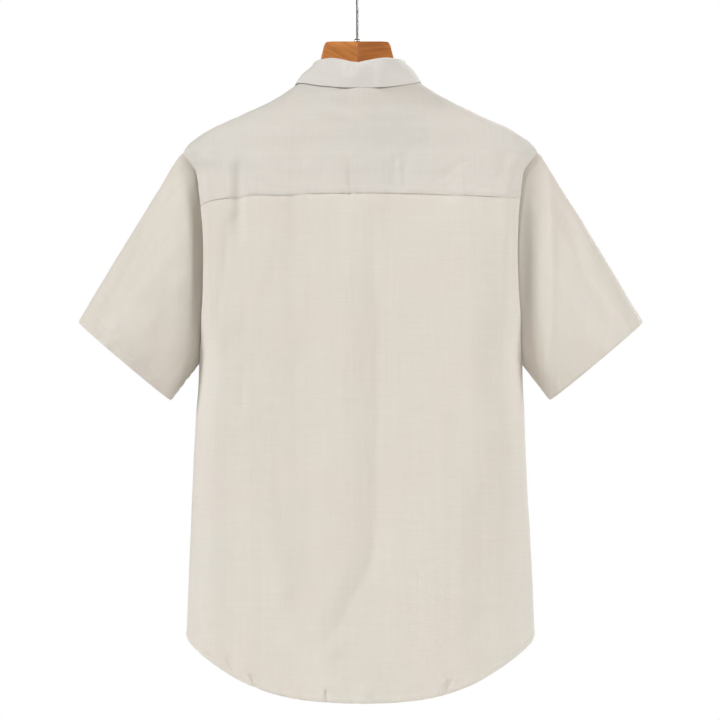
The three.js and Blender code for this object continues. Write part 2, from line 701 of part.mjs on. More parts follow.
// One outline of the hanger's wood, square to its length: a rounded box of the station's sizes
function hangerOutline(station) {
  const points = [];
  for (let k = 0; k < hangerSectionSides; k += 1) {
    const angle = (2 * Math.PI * k) / hangerSectionSides + Math.PI / 2;
    const rounded = (value) => Math.sign(value) * Math.abs(value) ** (2 / station.square);
    const y = station.half * rounded(Math.cos(angle));
    const middle = (station.top + station.bottom) / 2;
    const z = middle + ((station.top - station.bottom) / 2) * rounded(Math.sin(angle));
    points.push(new THREE.Vector3(station.x, y, z));
  }
  return points;
}

// The stations of one half. Along the arm the top lies just under the ridge of the shoulder, with a
// station at each row of the yoke, so that both have the same straight stretches.
function hangerStations(side) {
  const stations = neckStations.map((station) => ({ ...station, x: side * station.x }));
  stations[0].x = (side * hangerJointGap) / 2;
  const levels = [armRootLevel];
  for (let k = 1; k <= armRows; k += 1) levels.push(ridgeRow(k).level);
  levels.forEach((level, k) => {
    const out = k / (levels.length - 1);
    const turn = (side * Math.PI) / 2;
    const under = -(clothThickness + armSeatGap);
    const seat = bodyPoint(turn, level).addScaledVector(bodyNormal(turn, level), under);
    const height = armHeight.root + (armHeight.tip - armHeight.root) * out;
    const half = armHalf.root + (armHalf.tip - armHalf.root) * out;
    const x = shirtCentre + seat.x;
    stations.push({ x, top: seat.z, bottom: seat.z - height, half, square: armSquare });
  });
  const end = stations[stations.length - 1];
  const slope = (end.top - stations[stations.length - 2].top) / (end.x - stations[stations.length - 2].x);
  for (const share of [0.6, 1]) {
    const shrink = Math.sqrt(1 - (share * 0.9) ** 2);
    const x = end.x + side * armEndLength * share;
    const middle = (end.top + end.bottom) / 2 + slope * side * armEndLength * share;
    const halfHeight = ((end.top - end.bottom) / 2) * shrink;
    stations.push({
      x, top: middle + halfHeight, bottom: middle - halfHeight, half: end.half * shrink, square: armSquare,
    });
  }
  return stations;
}

function loftGeometry(outlines) {
  const count = outlines[0].length;
  const positions = outlines.flat().flatMap((point) => [point.x, point.y, point.z]);
  const triangles = [];
  for (let i = 0; i < outlines.length - 1; i += 1) {
    for (let j = 0; j < count; j += 1) {
      const a = i * count + j;
      const b = i * count + ((j + 1) % count);
      triangles.push(a, b, b + count, a, b + count, a + count);
    }
  }
  const lastRing = (outlines.length - 1) * count;
  for (let j = 1; j < count - 1; j += 1) {
    triangles.push(0, j + 1, j);
    triangles.push(lastRing, lastRing + j, lastRing + j + 1);
  }
  const geometry = new THREE.BufferGeometry();
  geometry.setAttribute('position', new THREE.Float32BufferAttribute(positions, 3));
  geometry.setIndex(triangles);
  return geometry;
}

// A blind hole in the joint takes the hook's stem
function makeHangerHalf(side) {
  const outlines = hangerStations(side).map(hangerOutline);
  if (side < 0) outlines.reverse();
  const boreDepth = stemDepthInWood + seamGap;
  const bore = new THREE.CylinderGeometry(wireRadius + seamGap, wireRadius + seamGap, 2 * boreDepth, 12);
  bore.rotateX(Math.PI / 2);
  bore.translate(0, 0, blockTop);
  const name = side > 0 ? 'hanger_left' : 'hanger_right';
  return piece(name, cutAway(loftGeometry(outlines), bore), beech);
}

function makeHook() {
  const centreZ = wireRadius - hookRadius;
  const points = [];
  points.push(new THREE.Vector3(0, 0, blockTop - stemDepthInWood));
  for (const z of [-110, -92, -76, stemTop]) points.push(new THREE.Vector3(0, 0, z));
  points.push(new THREE.Vector3(-3.2, 0, stemTop + 12));
  const heel = hookHeelAngle;
  for (let angle = heel; angle >= hookTipAngle; angle -= 25) {
    const x = hookRadius * Math.cos(angle * degree);
    points.push(new THREE.Vector3(x, 0, centreZ + hookRadius * Math.sin(angle * degree)));
  }
  const path = new THREE.CatmullRomCurve3(points, false, 'centripetal');
  const section = new THREE.Shape();
  section.absarc(0, 0, wireRadius, 0, 2 * Math.PI);
  const settings = { steps: wireSteps, curveSegments: wireArcSteps, extrudePath: path, bevelEnabled: false };
  return piece('hanger_hook', new THREE.ExtrudeGeometry(section, settings), steel);
}

function makeFerrule() {
  const inner = wireRadius + seamGap;
  const rim = 0.6;
  const profile = [
    new THREE.Vector2(inner, 0),
    new THREE.Vector2(ferruleRadius, 0),
    new THREE.Vector2(ferruleRadius, ferruleHeight - rim),
    new THREE.Vector2(ferruleRadius - rim, ferruleHeight),
    new THREE.Vector2(inner, ferruleHeight),
    new THREE.Vector2(inner, 0),
  ];
  const ferrule = piece('hanger_ferrule', new THREE.LatheGeometry(profile, 16), steel);
  ferrule.rotation.x = Math.PI / 2;
  ferrule.position.z = blockTop + seamGap;
  return ferrule;
}

const shirt = new THREE.Group();
shirt.position.x = shirtCentre;
shirt.add(makeYoke(), makeBack(), makeFront(), makeSleeve(1), makeSleeve(-1));
shirt.add(makeCollarStand(), makeCollarLeaf());
shirt.add(makePlacket('placket_over', overBandGap + clothThickness));
shirt.add(makePlacket('placket_under', -clothThickness - underBandGap));
shirt.add(...makePlacketButtons());
const standMiddle = standPoint(Math.PI, 0.5);
shirt.add(makeButton('button_stand', standMiddle, standNormal(Math.PI, 0.5), standButtonShank));

const hanger = new THREE.Group();
hanger.add(makeHangerHalf(1), makeHangerHalf(-1), makeHook(), makeFerrule());

const hangingShirt = new THREE.Group();
hangingShirt.add(shirt, hanger);

export default hangingShirt;
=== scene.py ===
# %% [markdown]
# # A woven shirt on a wooden hanger
# The solids of the shirt are loaded first and stay where they are. Everything that follows is a finer
# skin on them: cloth with its folds and seams, sewing thread, buttons, wood and wire. All sizes below
# are written in millimetres, as a pattern cutter would, and turned into metres when a mesh is made.

# %% Load the solids
import math

import bpy
import numpy as np
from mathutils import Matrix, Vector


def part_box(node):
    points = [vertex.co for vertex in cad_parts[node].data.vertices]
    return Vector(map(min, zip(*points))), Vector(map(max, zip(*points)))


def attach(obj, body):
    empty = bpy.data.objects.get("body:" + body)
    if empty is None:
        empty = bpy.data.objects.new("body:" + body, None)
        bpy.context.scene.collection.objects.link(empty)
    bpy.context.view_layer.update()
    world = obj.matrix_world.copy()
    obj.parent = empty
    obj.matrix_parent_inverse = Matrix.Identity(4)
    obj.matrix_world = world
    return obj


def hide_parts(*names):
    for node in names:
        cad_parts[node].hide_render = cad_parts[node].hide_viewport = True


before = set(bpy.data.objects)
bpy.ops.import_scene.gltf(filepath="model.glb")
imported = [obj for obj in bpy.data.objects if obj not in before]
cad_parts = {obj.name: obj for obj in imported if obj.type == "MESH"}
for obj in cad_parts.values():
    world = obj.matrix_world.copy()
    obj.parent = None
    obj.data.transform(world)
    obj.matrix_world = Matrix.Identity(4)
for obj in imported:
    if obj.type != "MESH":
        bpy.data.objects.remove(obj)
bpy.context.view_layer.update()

# %% [markdown]
# ## Helpers for surfaces
# A shirt is drawn from a few measured sections, and the cloth between them is smooth. So the first
# helper reads a table at any height without overshooting it. The others find the direction square to a
# surface, and turn a grid of points into a wall of cloth with its two faces and its cut edges. Working
# on whole arrays keeps this quick even with a point every three millimetres.

# %% Curves and directions
DEGREE = math.pi / 180
MILLIMETRE = 0.001
WAVE_RATES = (0.5, 1.6)
SHIRT_CENTRE = np.array([-4.0, 0.0, 0.0])


def curve_through(keys, values, at):
    """A smooth curve through the points (key, value), level outside them. Between two points it is the
    cubic whose slope at each is the harmonic mean of the slopes beside it, or 0 where those differ in
    sign, so it never overshoots."""
    keys, values = np.asarray(keys, float), np.asarray(values, float)
    if keys[0] > keys[-1]:
        keys, values = keys[::-1], values[::-1]
    slope = np.diff(values) / np.diff(keys)
    before, after = slope[:-1], slope[1:]
    agree = before * after > 0
    mean = np.where(agree, 2 * before * after / np.where(agree, before + after, 1), 0)
    tangent = np.concatenate([slope[:1], mean, slope[-1:]])
    i = np.clip(np.searchsorted(keys, at) - 1, 0, len(slope) - 1)
    span = keys[i + 1] - keys[i]
    t = np.clip((at - keys[i]) / span, 0, 1)
    ends = values[i] * (1 + 2 * t) * (1 - t) ** 2 + values[i + 1] * t * t * (3 - 2 * t)
    return ends + span * (tangent[i] * t * (1 - t) ** 2 - tangent[i + 1] * t * t * (1 - t))


def smooth(low, high, value):
    """0 below low, 1 above high, and 3t^2 - 2t^3 between them."""
    t = np.clip((value - low) / (high - low), 0, 1)
    return t * t * (3 - 2 * t)


def hump(offset, width):
    """The bell exp(-(offset / width)^2)."""
    return np.exp(-((offset / width) ** 2))


def unit(vectors):
    return vectors / np.maximum(np.linalg.norm(vectors, axis=-1, keepdims=True), 1e-12)


def surface_normal(point_at, u, v, du, dv):
    """Square to a surface given as a function of two values: its steps in u and v, crossed."""
    along_u = point_at(u + du, v) - point_at(u - du, v)
    along_v = point_at(u, v + dv) - point_at(u, v - dv)
    return unit(np.cross(along_u, along_v))


def grid_normals(points, wraps=False):
    """Square to a grid of points: the step to the right crossed with the step down at each point."""
    if wraps:
        across = np.roll(points, -1, axis=1) - np.roll(points, 1, axis=1)
    else:
        across = np.gradient(points, axis=1)
    return unit(np.cross(across, np.gradient(points, axis=0)))


def run_length(points, axis, flat=False):
    """How far each point lies from the first along that axis of the grid, following the cloth."""
    steps = np.diff(points, axis=axis)
    if flat:
        steps = steps[..., :2]
    lengths = np.linalg.norm(steps, axis=-1)
    start = np.zeros_like(np.take(lengths, [0], axis=axis))
    return np.cumsum(np.concatenate([start, lengths], axis=axis), axis=axis)


def ripple(u, v, long_u, long_v, seed, waves=14):
    """An uneven rippling between about -1 and 1: the sum of sine waves with random phase, over the root
    of their number, whose lengths are long_u and long_v divided by 0.5 to 1.6."""
    dice = np.random.default_rng(seed)
    total = np.zeros_like(u + v, dtype=float)
    for _ in range(waves):
        across, down = dice.uniform(*WAVE_RATES, 2)
        lean = dice.choice([-1.0, 1.0])
        phase = dice.uniform(0, 2 * math.pi)
        total += np.sin(2 * math.pi * (u * across / long_u + lean * v * down / long_v) + phase)
    return total / math.sqrt(waves)


half_step = curve_through([0, 1, 2], [0, 1, 1], np.array([0.5]))
print("half a step along a curve through 0, 1 and 1:", half_step)

# %% Meshes from grids
made = {}


def new_piece(name, vertices, faces, uv=None, sharp=40):
    """A mesh object at the origin from points in millimetres, with smooth shading between faces that
    meet at less than the sharp angle, and a UV map in metres where one is given per point."""
    mesh = bpy.data.meshes.new(name)
    mesh.from_pydata((vertices * MILLIMETRE).tolist(), [], faces)
    mesh.validate()
    if uv is not None:
        layer = mesh.uv_layers.new(name="cloth_metres")
        corner = np.empty(len(mesh.loops), dtype=np.int64)
        mesh.loops.foreach_get("vertex_index", corner)
        layer.data.foreach_set("uv", (uv[corner] * MILLIMETRE).astype(np.float32).ravel())
    mesh.polygons.foreach_set("use_smooth", np.ones(len(mesh.polygons), dtype=bool))
    mesh.set_sharp_from_angle(angle=sharp * DEGREE)
    piece = bpy.data.objects.new(name, mesh)
    bpy.context.scene.collection.objects.link(piece)
    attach(piece, "root")
    made[name] = piece
    return piece


def cloth_wall(name, outer, thickness, uv, wraps=False, keep=None):
    """A wall of cloth: the outer grid, the same grid moved in by the thickness along its normals, and a
    strip along every edge that only one kept square has."""
    rows, columns = outer.shape[:2]
    normal = grid_normals(outer, wraps)
    inner = outer - normal * thickness
    index = np.arange(rows * columns).reshape(rows, columns)
    right = np.roll(index, -1, axis=1)
    if not wraps:
        index, right = index[:, :-1], right[:, :-1]
    squares = np.stack([index[:-1], right[:-1], right[1:], index[1:]], axis=-1)
    squares = (squares if keep is None else squares[keep]).reshape(-1, 4)
    count = rows * columns
    start, end = squares.ravel(), np.roll(squares, -1, axis=1).ravel()
    alone = ~np.isin(start * count + end, end * count + start)
    strip = np.stack([end[alone], start[alone], start[alone] + count, end[alone] + count], axis=1)
    faces = np.concatenate([squares, squares[:, ::-1] + count, strip])
    used, compact = np.unique(faces, return_inverse=True)
    vertices = np.concatenate([outer.reshape(-1, 3), inner.reshape(-1, 3)])[used]
    places = np.concatenate([uv.reshape(-1, 2)] * 2)[used]
    return new_piece(name, vertices + SHIRT_CENTRE, compact.reshape(-1, 4).tolist(), places)


def outer_area(outer, wraps=False):
    """The area of a grid in square metres: half the cross product of the diagonals of each square."""
    if wraps:
        outer = np.concatenate([outer, outer[:, :1]], axis=1)
    one = outer[1:, 1:] - outer[:-1, :-1]
    other = outer[1:, :-1] - outer[:-1, 1:]
    return float(np.linalg.norm(np.cross(one, other), axis=-1).sum() / 2 * MILLIMETRE ** 2)


# %% [markdown]
# ## The form of the body
# On the hanger the shirt is a flattened tube: wide, about 15 cm deep, almost square at its sides, and
# pushed out at the neck by its own collar. Horizontal sections give half width and depth, and a power
# says how square each one is. The folds of the solids come next, because the finer cloth has to lie on
# them. The same formulas as in the solids are used, so the two never drift apart.

# %% Sections of the body
NECK_LEVEL = -163.0
TIP_LEVEL = -258.5
UNDERARM_LEVEL = -528.0
YOKE_SEAM_LEVEL = -323.0
YOKE_SEAM_RISE = 9.0
HEM_SIDE, HEM_BACK, HEM_FRONT, HEM_CURVE = -873.0, -951.0, -940.0, 2.6
BULGE_REACH = 75.0
PLAIN_STEPS, BODY_STEPS = (0.002, -0.2), (0.004, -0.5)

SECTION_COLUMNS = ("level", "half_width", "depth", "square", "back_bulge", "front_bulge", "back_rise",
                   "front_drop")
SECTION_ROWS = (
    (-163, 66, 30, 2, 26, 32, -17, 82),
    (-177, 88, 31, 2, 26, 32, -13, 73),
    (-187, 102.5, 31, 2, 26, 31, -11, 67),
    (-197.5, 121, 32, 2, 25, 30, -9, 60),
    (-207.5, 142.5, 33, 2.1, 25, 29, -7, 55),
    (-218, 165, 34, 2.2, 24, 28, -5, 49),
    (-228, 187, 36, 2.3, 23, 27, -4, 44),
    (-238, 205, 38, 2.4, 22, 25, -3, 39),
    (-248, 217, 40, 2.6, 21, 24, -2, 34),
    (-258.5, 225, 43, 2.9, 20, 22, -1, 30),
    (-288, 213, 53, 4, 15, 17, 0, 18),
    (-330, 213, 62, 5.5, 10, 10, 0, 8),
    (-395, 213, 70, 6, 5, 5, 0, 0),
    (-460, 212, 74, 6, 2, 2, 0, 0),
    (-500, 207.5, 75, 5.5, 1, 1, 0, 0),
    (-528, 205, 76, 5, 0, 0, 0, 0),
    (-600, 211, 77, 5, 0, 0, 0, 0),
    (-700, 217, 79, 4.6, 0, 0, 0, 0),
    (-800, 222, 82, 4.2, 0, 0, 0, 0),
    (-873, 224, 84, 4, 0, 0, 0, 0),
    (-960, 225, 86, 4, 0, 0, 0, 0),
)
sections = dict(zip(SECTION_COLUMNS, np.array(SECTION_ROWS, float).T))

# The largest folds, as the solids have them: side, top x and z, end x and z, width, height
LARGE_FOLDS = (
    ("back", -18, -330, -20, -900, 24, -5),
    ("back", 26, -360, 18, -1010, 30, 5),
    ("back", 88, -230, 92, -520, 26, -4),
    ("back", 152, -600, 20, -1040, 30, -9),
    ("back", -120, -430, -96, -1060, 34, 6),
    ("back", -168, -660, -176, -1040, 26, -6),
    ("front", 95, -300, 70, -1060, 28, 8),
    ("front", 150, -470, 140, -1080, 26, -9),
    ("front", -100, -310, -84, -1050, 30, 7),
    ("front", -40, -480, -30, -1080, 26, -7),
    ("front", -156, -440, -140, -1080, 26, -8),
    ("front", 20, -520, 26, -1080, 24, 6),
)
SIDE_CREASE_DEPTH, SIDE_CREASE_ANGLE, SIDE_CREASE_TOP, SIDE_CREASE_END = 5.0, 9.0, -540.0, -1000.0


def section(column, level):
    return curve_through(sections["level"], sections[column], level)


def plain_body(turn, level):
    """The body without folds. With s and c the sine and cosine of the turn: x is the half width times
    s, y is the depth times the root of 1 - |s|^square plus the bulge exp(-(x / reach)^2) |c|, to the
    back or the front, and the height rises or drops by the tip times c^2."""
    s, c = np.sin(turn), np.cos(turn)
    back = c >= 0
    x = section("half_width", level) * s
    flat = np.sqrt(np.clip(1 - np.abs(s) ** section("square", level), 0, None))
    bulge = np.where(back, section("back_bulge", level), section("front_bulge", level))
    tip = np.where(back, section("back_rise", level), -section("front_drop", level))
    reach = section("depth", level) * flat + bulge * hump(x, BULGE_REACH) * np.abs(c)
    return np.stack([x, np.where(back, reach, -reach), level + tip * c * c], axis=-1)


def fading(z, top, end):
    """sin(pi t) of the way t from the top to the end, and 0 outside."""
    t = (top - z) / (top - end)
    return np.where((t > 0) & (t < 1), np.sin(math.pi * np.clip(t, 0, 1)), 0)


def large_fold_height(points, turn):
    """Each fold's bell across its line times its fading along it, less the crease at the side seams."""
    x, z = points[..., 0], points[..., 2]
    back = np.cos(turn) >= 0
    height = np.zeros_like(x)
    for side, top_x, top_z, end_x, end_z, width, rise in LARGE_FOLDS:
        line = top_x + (end_x - top_x) * (top_z - z) / (top_z - end_z)
        on_side = back if side == "back" else ~back
        height += np.where(on_side, rise * hump(x - line, width) * fading(z, top_z, end_z), 0)
    off_side = np.arccos(np.minimum(1, np.abs(np.sin(turn)))) / (SIDE_CREASE_ANGLE * DEGREE)
    crease = SIDE_CREASE_DEPTH * hump(off_side, 1) * fading(z, SIDE_CREASE_TOP, SIDE_CREASE_END)
    return height * np.abs(np.cos(turn)) - crease


def body_point(turn, level):
    """The outer face of the cloth: the plain body moved along its normal by the large folds."""
    turn, level = np.broadcast_arrays(np.asarray(turn, float), np.asarray(level, float))
    points = plain_body(turn, level)
    normal = surface_normal(plain_body, turn, level, *PLAIN_STEPS)
    return points + normal * large_fold_height(points, turn)[..., None]


def body_normal(turn, level):
    return surface_normal(body_point, np.asarray(turn, float), np.asarray(level, float), *BODY_STEPS)


print("chest half width", section("half_width", -460.0), "depth", section("depth", -460.0))

# %% [markdown]
# ## Creases
# What makes cloth look like cloth are its smaller creases, and no two of them are alike. Each is listed
# with its line down the cloth, how wide it is on either hand, how high or deep, and over what length it
# starts and ends. Those of the back were read from how light falls on it. The front, which is not seen
# there, gets similar ones. A little uneven rippling lies under all of them.

# %% Crease tables
# line ((x, z), ...), width towards -x, width towards +x, height, length of its start, length of its end
BACK_CREASES = (
    (((-20, -300), (-16, -573), (-15, -748), (13, -823), (36, -868), (76, -908)), 13, 10, -2.0, 75, 62),
    (((12, -310), (17, -573), (17, -748), (43, -846), (76, -866)), 14, 14, 1.4, 75, 62),
    (((156, -262), (155, -423)), 9, 8, -5.0, 22, 90),
    (((186, -250), (182, -286), (174, -322)), 7, 7, -2.0, 12, 20),
    (((171, -318), (168, -390), (166, -480)), 9, 10, -1.8, 14, 110),
    (((-186, -252), (-176, -300)), 7, 8, -1.6, 14, 20),
    (((137, -254), (134, -436), (128, -611)), 15, 9, 3.6, 25, 150),
    (((196, -256), (188, -290), (186, -326)), 6, 7, 1.6, 12, 20),
    (((88, -243), (87, -373), (81, -486)), 9, 11, -2.0, 31, 88),
    (((71, -267), (68, -392)), 10, 6, 1.5, 19, 50),
    (((16, -268), (13, -332)), 4, 4, -1.6, 15, 22),
    (((9, -273), (7, -326)), 5, 4, 1.0, 15, 20),
    (((48, -253), (46, -313)), 6, 6, -0.9, 15, 15),
    (((-43, -261), (-44, -316)), 4, 4, -1.2, 12, 12),
    (((-56, -258), (-56, -314)), 5, 4, -1.1, 12, 12),
    (((-109, -277), (-114, -331)), 6, 15, -1.8, 18, 18),
    (((-128, -274), (-129, -341)), 6, 4, 1.2, 15, 22),
    (((-42, -398), (-44, -523), (-52, -773), (-54, -886)), 18, 11, 1.5, 62, 75),
    (((147, -504), (148, -611)), 6, 6, -1.2, 31, 31),
    (((102, -579), (104, -704)), 8, 6, -1.3, 38, 38),
    (((81, -654), (81, -798)), 11, 11, 1.6, 38, 44),
    (((49, -567), (53, -679)), 10, 10, -1.2, 38, 38),
    (((126, -442), (126, -623)), 12, 12, 1.2, 50, 50),
    (((183, -531), (194, -588)), 6, 4, -1.6, 10, 18),
    (((-191, -660), (-172, -733), (-168, -790), (-178, -830)), 12, 16, -1.5, 40, 30),
    (((-197, -700), (-186, -820)), 12, 9, 1.1, 40, 30),
    (((162, -335), (170, -385), (178, -448), (180, -500)), 9, 8, -2.2, 16, 40),
    (((-202, -793), (-191, -843)), 5, 6, -1.6, 15, 15),
    (((-146, -833), (-141, -881)), 10, 12, -1.2, 18, 18),
    (((86, -804), (101, -886)), 12, 15, -1.6, 25, 25),
    (((195, -872), (191, -892)), 3, 4, -2.0, 8, 1),
    (((167, -888), (163, -910)), 3, 4, -2.3, 9, 1),
    (((138, -912), (131, -934)), 3, 4, -3.4, 7, 1),
    (((44, -930), (41, -952)), 3, 3, -2.2, 9, 1),
    (((26, -883), (32, -928)), 6, 8, -1.4, 12, 12),
    (((-112, -918), (-106, -938)), 3, 4, -2.3, 9, 1),
    (((-9, -921), (-4, -956)), 8, 9, 1.8, 12, 2),
    (((-204, -248), (-192, -288), (-184, -329), (-183, -473)), 6, 8, 1.6, 10, 62),
    (((203, -253), (193, -288), (191, -329), (195, -486)), 6, 6, 2.2, 10, 62),
)
FRONT_CREASES = (
    (((62, -470), (56, -640), (70, -820), (64, -920)), 14, 12, -2.6, 40, 70),
    (((104, -262), (96, -350), (92, -480)), 9, 13, -2.2, 30, 80),
    (((128, -250), (118, -400), (124, -560)), 12, 9, 2.0, 30, 90),
    (((170, -300), (166, -430)), 6, 5, -2.2, 20, 60),
    (((-60, -300), (-66, -420), (-58, -620)), 10, 12, -2.4, 30, 80),
    (((-92, -262), (-100, -380)), 8, 10, -1.8, 25, 50),
    (((-126, -270), (-122, -420), (-132, -600)), 12, 14, 2.2, 25, 90),
    (((-168, -296), (-170, -440)), 5, 6, -2.0, 20, 60),
    (((-14, -476), (-22, -640), (-12, -800)), 12, 15, 2.0, 20, 90),
    (((36, -458), (30, -560)), 6, 7, -1.8, 8, 50),
    (((2, -452), (-2, -520)), 5, 5, 1.2, 6, 40),
    (((-120, -640), (-108, -790), (-116, -900)), 10, 14, -2.0, 50, 50),
    (((168, -560), (176, -690), (168, -790)), 10, 8, 1.8, 40, 50),
    (((-186, -540), (-176, -640), (-186, -730)), 7, 9, -2.0, 20, 40),
    (((190, -545), (178, -600)), 4, 6, -1.6, 12, 20),
    (((96, -760), (88, -900)), 14, 12, 1.7, 30, 30),
    (((-40, -850), (-46, -938)), 6, 8, -1.5, 25, 3),
    (((54, -896), (50, -940)), 5, 5, -1.5, 15, 2),
    (((128, -880), (136, -926)), 5, 4, -1.6, 15, 3),
    (((-140, -872), (-136, -918)), 6, 5, -1.6, 15, 3),
    (((204, -250), (192, -290), (185, -330), (188, -480)), 8, 6, 1.6, 10, 62),
    (((-204, -250), (-192, -290), (-185, -330), (-186, -470)), 6, 8, 1.6, 10, 62),
)


NECK_DIPS = ((1.5, -86, 17), (0.8, 86, 17))  # depth, x and width of the dips beside the collar


def bells(table, x):
    """The sum of bells, each given by its height, its middle and its width."""
    return sum(height * hump(x - middle, width) for height, middle, width in table)


def neck_dip(points, turn):
    """Beside the collar the shoulder line is a little hollow, more so on the wearer's right."""
    return -bells(NECK_DIPS, points[..., 0]) * np.abs(np.sin(turn)) ** 6


def crease_height(points, table):
    """The sum of the creases. Each is its height, times a bell of its own width on either side of its
    line, times a smooth start at its top and a smooth end at its foot."""
    x, z = points[..., 0], points[..., 2]
    height = np.zeros_like(x)
    for line, left, right, rise, start, end in table:
        line_x, line_z = np.array(line, float).T
        off = x - curve_through(line_z, line_x, z)
        shape = np.where(off < 0, hump(off, left), hump(off, right))
        top, foot = line_z[0], line_z[-1]
        height += rise * shape * smooth(0, start, top - z) * smooth(0, end, z - foot)
    return height


RIPPLES = ((0.45, 95, 420), (0.14, 30, 90), (0.2, 36, 520))  # height, length across, length down
CREASE_STRENGTH, YOKE_RIPPLE = 1.35, 0.35


def body_creases(points, turn, seed):
    """The listed creases of the back or the front, and a faint rippling that is longer down the cloth
    than across it and quieter on the yoke."""
    table = BACK_CREASES if np.cos(turn).mean() > 0 else FRONT_CREASES
    x, z = points[..., 0], points[..., 2]
    faint = sum(height * ripple(x, z, across, down, seed + i)
                for i, (height, across, down) in enumerate(RIPPLES))
    creases = CREASE_STRENGTH * np.abs(np.cos(turn)) * crease_height(points, table)
    return creases + (YOKE_RIPPLE + (1 - YOKE_RIPPLE) * smooth(-300, -380, z)) * faint


print("creases on the back:", len(BACK_CREASES), "and on the front:", len(FRONT_CREASES))

# %% [markdown]
# ## Seams and hems
# A sewn edge is never flat. Where a turned edge lies on top there are more layers under it, so it
# stands up by half a millimetre, and the stitches two millimetres from the edge pull a small groove
# into it. A hem is the same with a wider turning, and it puckers a little because its curve was eased
# in. These functions give the height of the cloth from its distance to the edge.

# %% Profiles of sewn edges
CLOTH = 0.8
PUCKER_SEED = 40
ENDLESS = 1e9  # a wave so long that it doesn't change in its direction
EDGE_GROOVE, HEM_GROOVE, GROOVE_WIDTH = 0.34, 0.38, 0.9


def turned_edge(distance, along, allowance=7.0, stitch=2.0, rise=0.5):
    """A rise over the allowance, a groove at the stitches that comes and goes along the seam, and a
    rounded fall in the last half millimetre."""
    body = rise * (1 - smooth(allowance, allowance + 2, distance))
    pull = 1 + 0.35 * ripple(along, along * 0, 11, ENDLESS, PUCKER_SEED, 8)
    groove = EDGE_GROOVE * pull * hump(distance - stitch, GROOVE_WIDTH)
    return body - groove - 0.3 * hump(distance, 0.5)


def tucked_edge(distance, reach=5.0, depth=1.1):
    """The edge that lies underneath goes down by the depth and comes up again within the reach."""
    return -depth * (1 - smooth(reach * 0.45, reach, distance))


def hem(distance, along, width, seed, pucker=0.5):
    """A turned hem: a rise up to its stitches, a groove there, and puckers from them to the edge."""
    ridge = 0.4 * (1 - smooth(width, width + 1.5, distance))
    uneven = ripple(along, along * 0, 23, ENDLESS, seed, 10)
    groove = (HEM_GROOVE + 0.12 * uneven) * hump(distance - width, GROOVE_WIDTH)
    waves = pucker * ripple(along, distance, 17, 60, seed + 1, 10) * hump(distance - width * 0.6, width)
    return ridge - groove + waves - 0.9 * hump(distance, 1.5)


# %% Armholes, shoulder and hem lines
ARMHOLE_SPREAD = 22.0 * DEGREE
SHOULDER_FORWARD = 22.0 * DEGREE
ARMHOLE_MIDDLE, ARMHOLE_HALF = (TIP_LEVEL + UNDERARM_LEVEL) / 2, (TIP_LEVEL - UNDERARM_LEVEL) / 2
YOKE_SEAM_ANGLE = math.acos((YOKE_SEAM_LEVEL - ARMHOLE_MIDDLE) / ARMHOLE_HALF)


def armhole_level(angle):
    """Height on the armhole oval: its angle is 0 at the shoulder tip, half a turn at the underarm."""
    return ARMHOLE_MIDDLE + ARMHOLE_HALF * np.cos(angle)


def armhole_turn(side, angle):
    return side * (math.pi / 2 - ARMHOLE_SPREAD * np.sin(angle))


def ridge_turn(down):
    """The shoulder seam lies 22 degrees in front of the ridge at the neck and runs back to it at the
    tip: a quarter turn + 22 degrees (1 - down^3)."""
    return math.pi / 2 + SHOULDER_FORWARD * (1 - np.clip(down, 0, 1) ** 3)


def ridge_level(down):
    return NECK_LEVEL + (TIP_LEVEL - NECK_LEVEL) * down


def even_level(angle):
    """Heights that fall evenly between the shoulder tip, the yoke seam and the underarm."""
    return np.interp(angle, (0, YOKE_SEAM_ANGLE, math.pi), (TIP_LEVEL, YOKE_SEAM_LEVEL, UNDERARM_LEVEL))


def yoke_seam_rise(place):
    """How far the yoke seam lies above its height at the armholes: 9 (1 - place^2), and at its ends
    lower on the wearer's left and higher on the right."""
    ends = 5 * np.maximum(-place, 0) ** 5 - 6 * np.maximum(place, 0) ** 8
    return YOKE_SEAM_RISE * (1 - place ** 2) + ends


def row_level(angle, place):
    """Rows that meet the armhole at the edges of a panel and lie evenly in its middle: the blend of
    both heights by |place|^6."""
    return even_level(angle) + (armhole_level(angle) - even_level(angle)) * np.abs(place) ** 6


def hem_level(turn, middle):
    return middle + (HEM_SIDE - middle) * np.abs(np.sin(turn)) ** HEM_CURVE


print("yoke seam meets the armhole at", round(YOKE_SEAM_ANGLE / DEGREE, 1), "degrees")

# %% [markdown]
# ## Yoke
# The yoke is one piece of cloth, cut crosswise, from the seam across the back over both shoulders to a
# seam a little in front of them. It carries the whole shirt, so it is smooth on top and only wrinkles
# where the back is sewn to it. Its lower edge is turned under and stitched on top of the back.

# %% Yoke panel
YOKE_COLUMNS, YOKE_RIDGE_ROWS, YOKE_BACK_ROWS = 200, 46, 40
BACK_SEED, FRONT_SEED, YOKE_SEED = 3, 13, 5


def on_body(turn, level):
    """The points of a panel on the body and their normals, and how far along the cloth each lies from
    the panel's top, its first side, its foot and its nearer side."""
    plain = body_point(turn, level)
    from_top, from_side = run_length(plain, 0), run_length(plain, 1)
    to_side = np.minimum(from_side, from_side[:, -1:] - from_side)
    return plain, body_normal(turn, level), from_top, from_side, from_top[-1:] - from_top, to_side


def tell(what, piece, outer, wraps=False):
    print(what, "area", round(outer_area(outer, wraps), 4), "triangles", 2 * len(piece.data.polygons))


def panel_uv(points):
    """Where each point lies on the flat cloth: its level distance from the middle column, and its
    height."""
    across = run_length(points, 1, flat=True)
    middle = points.shape[1] // 2
    return np.stack([across - across[:, middle:middle + 1], -points[..., 2]], axis=-1)


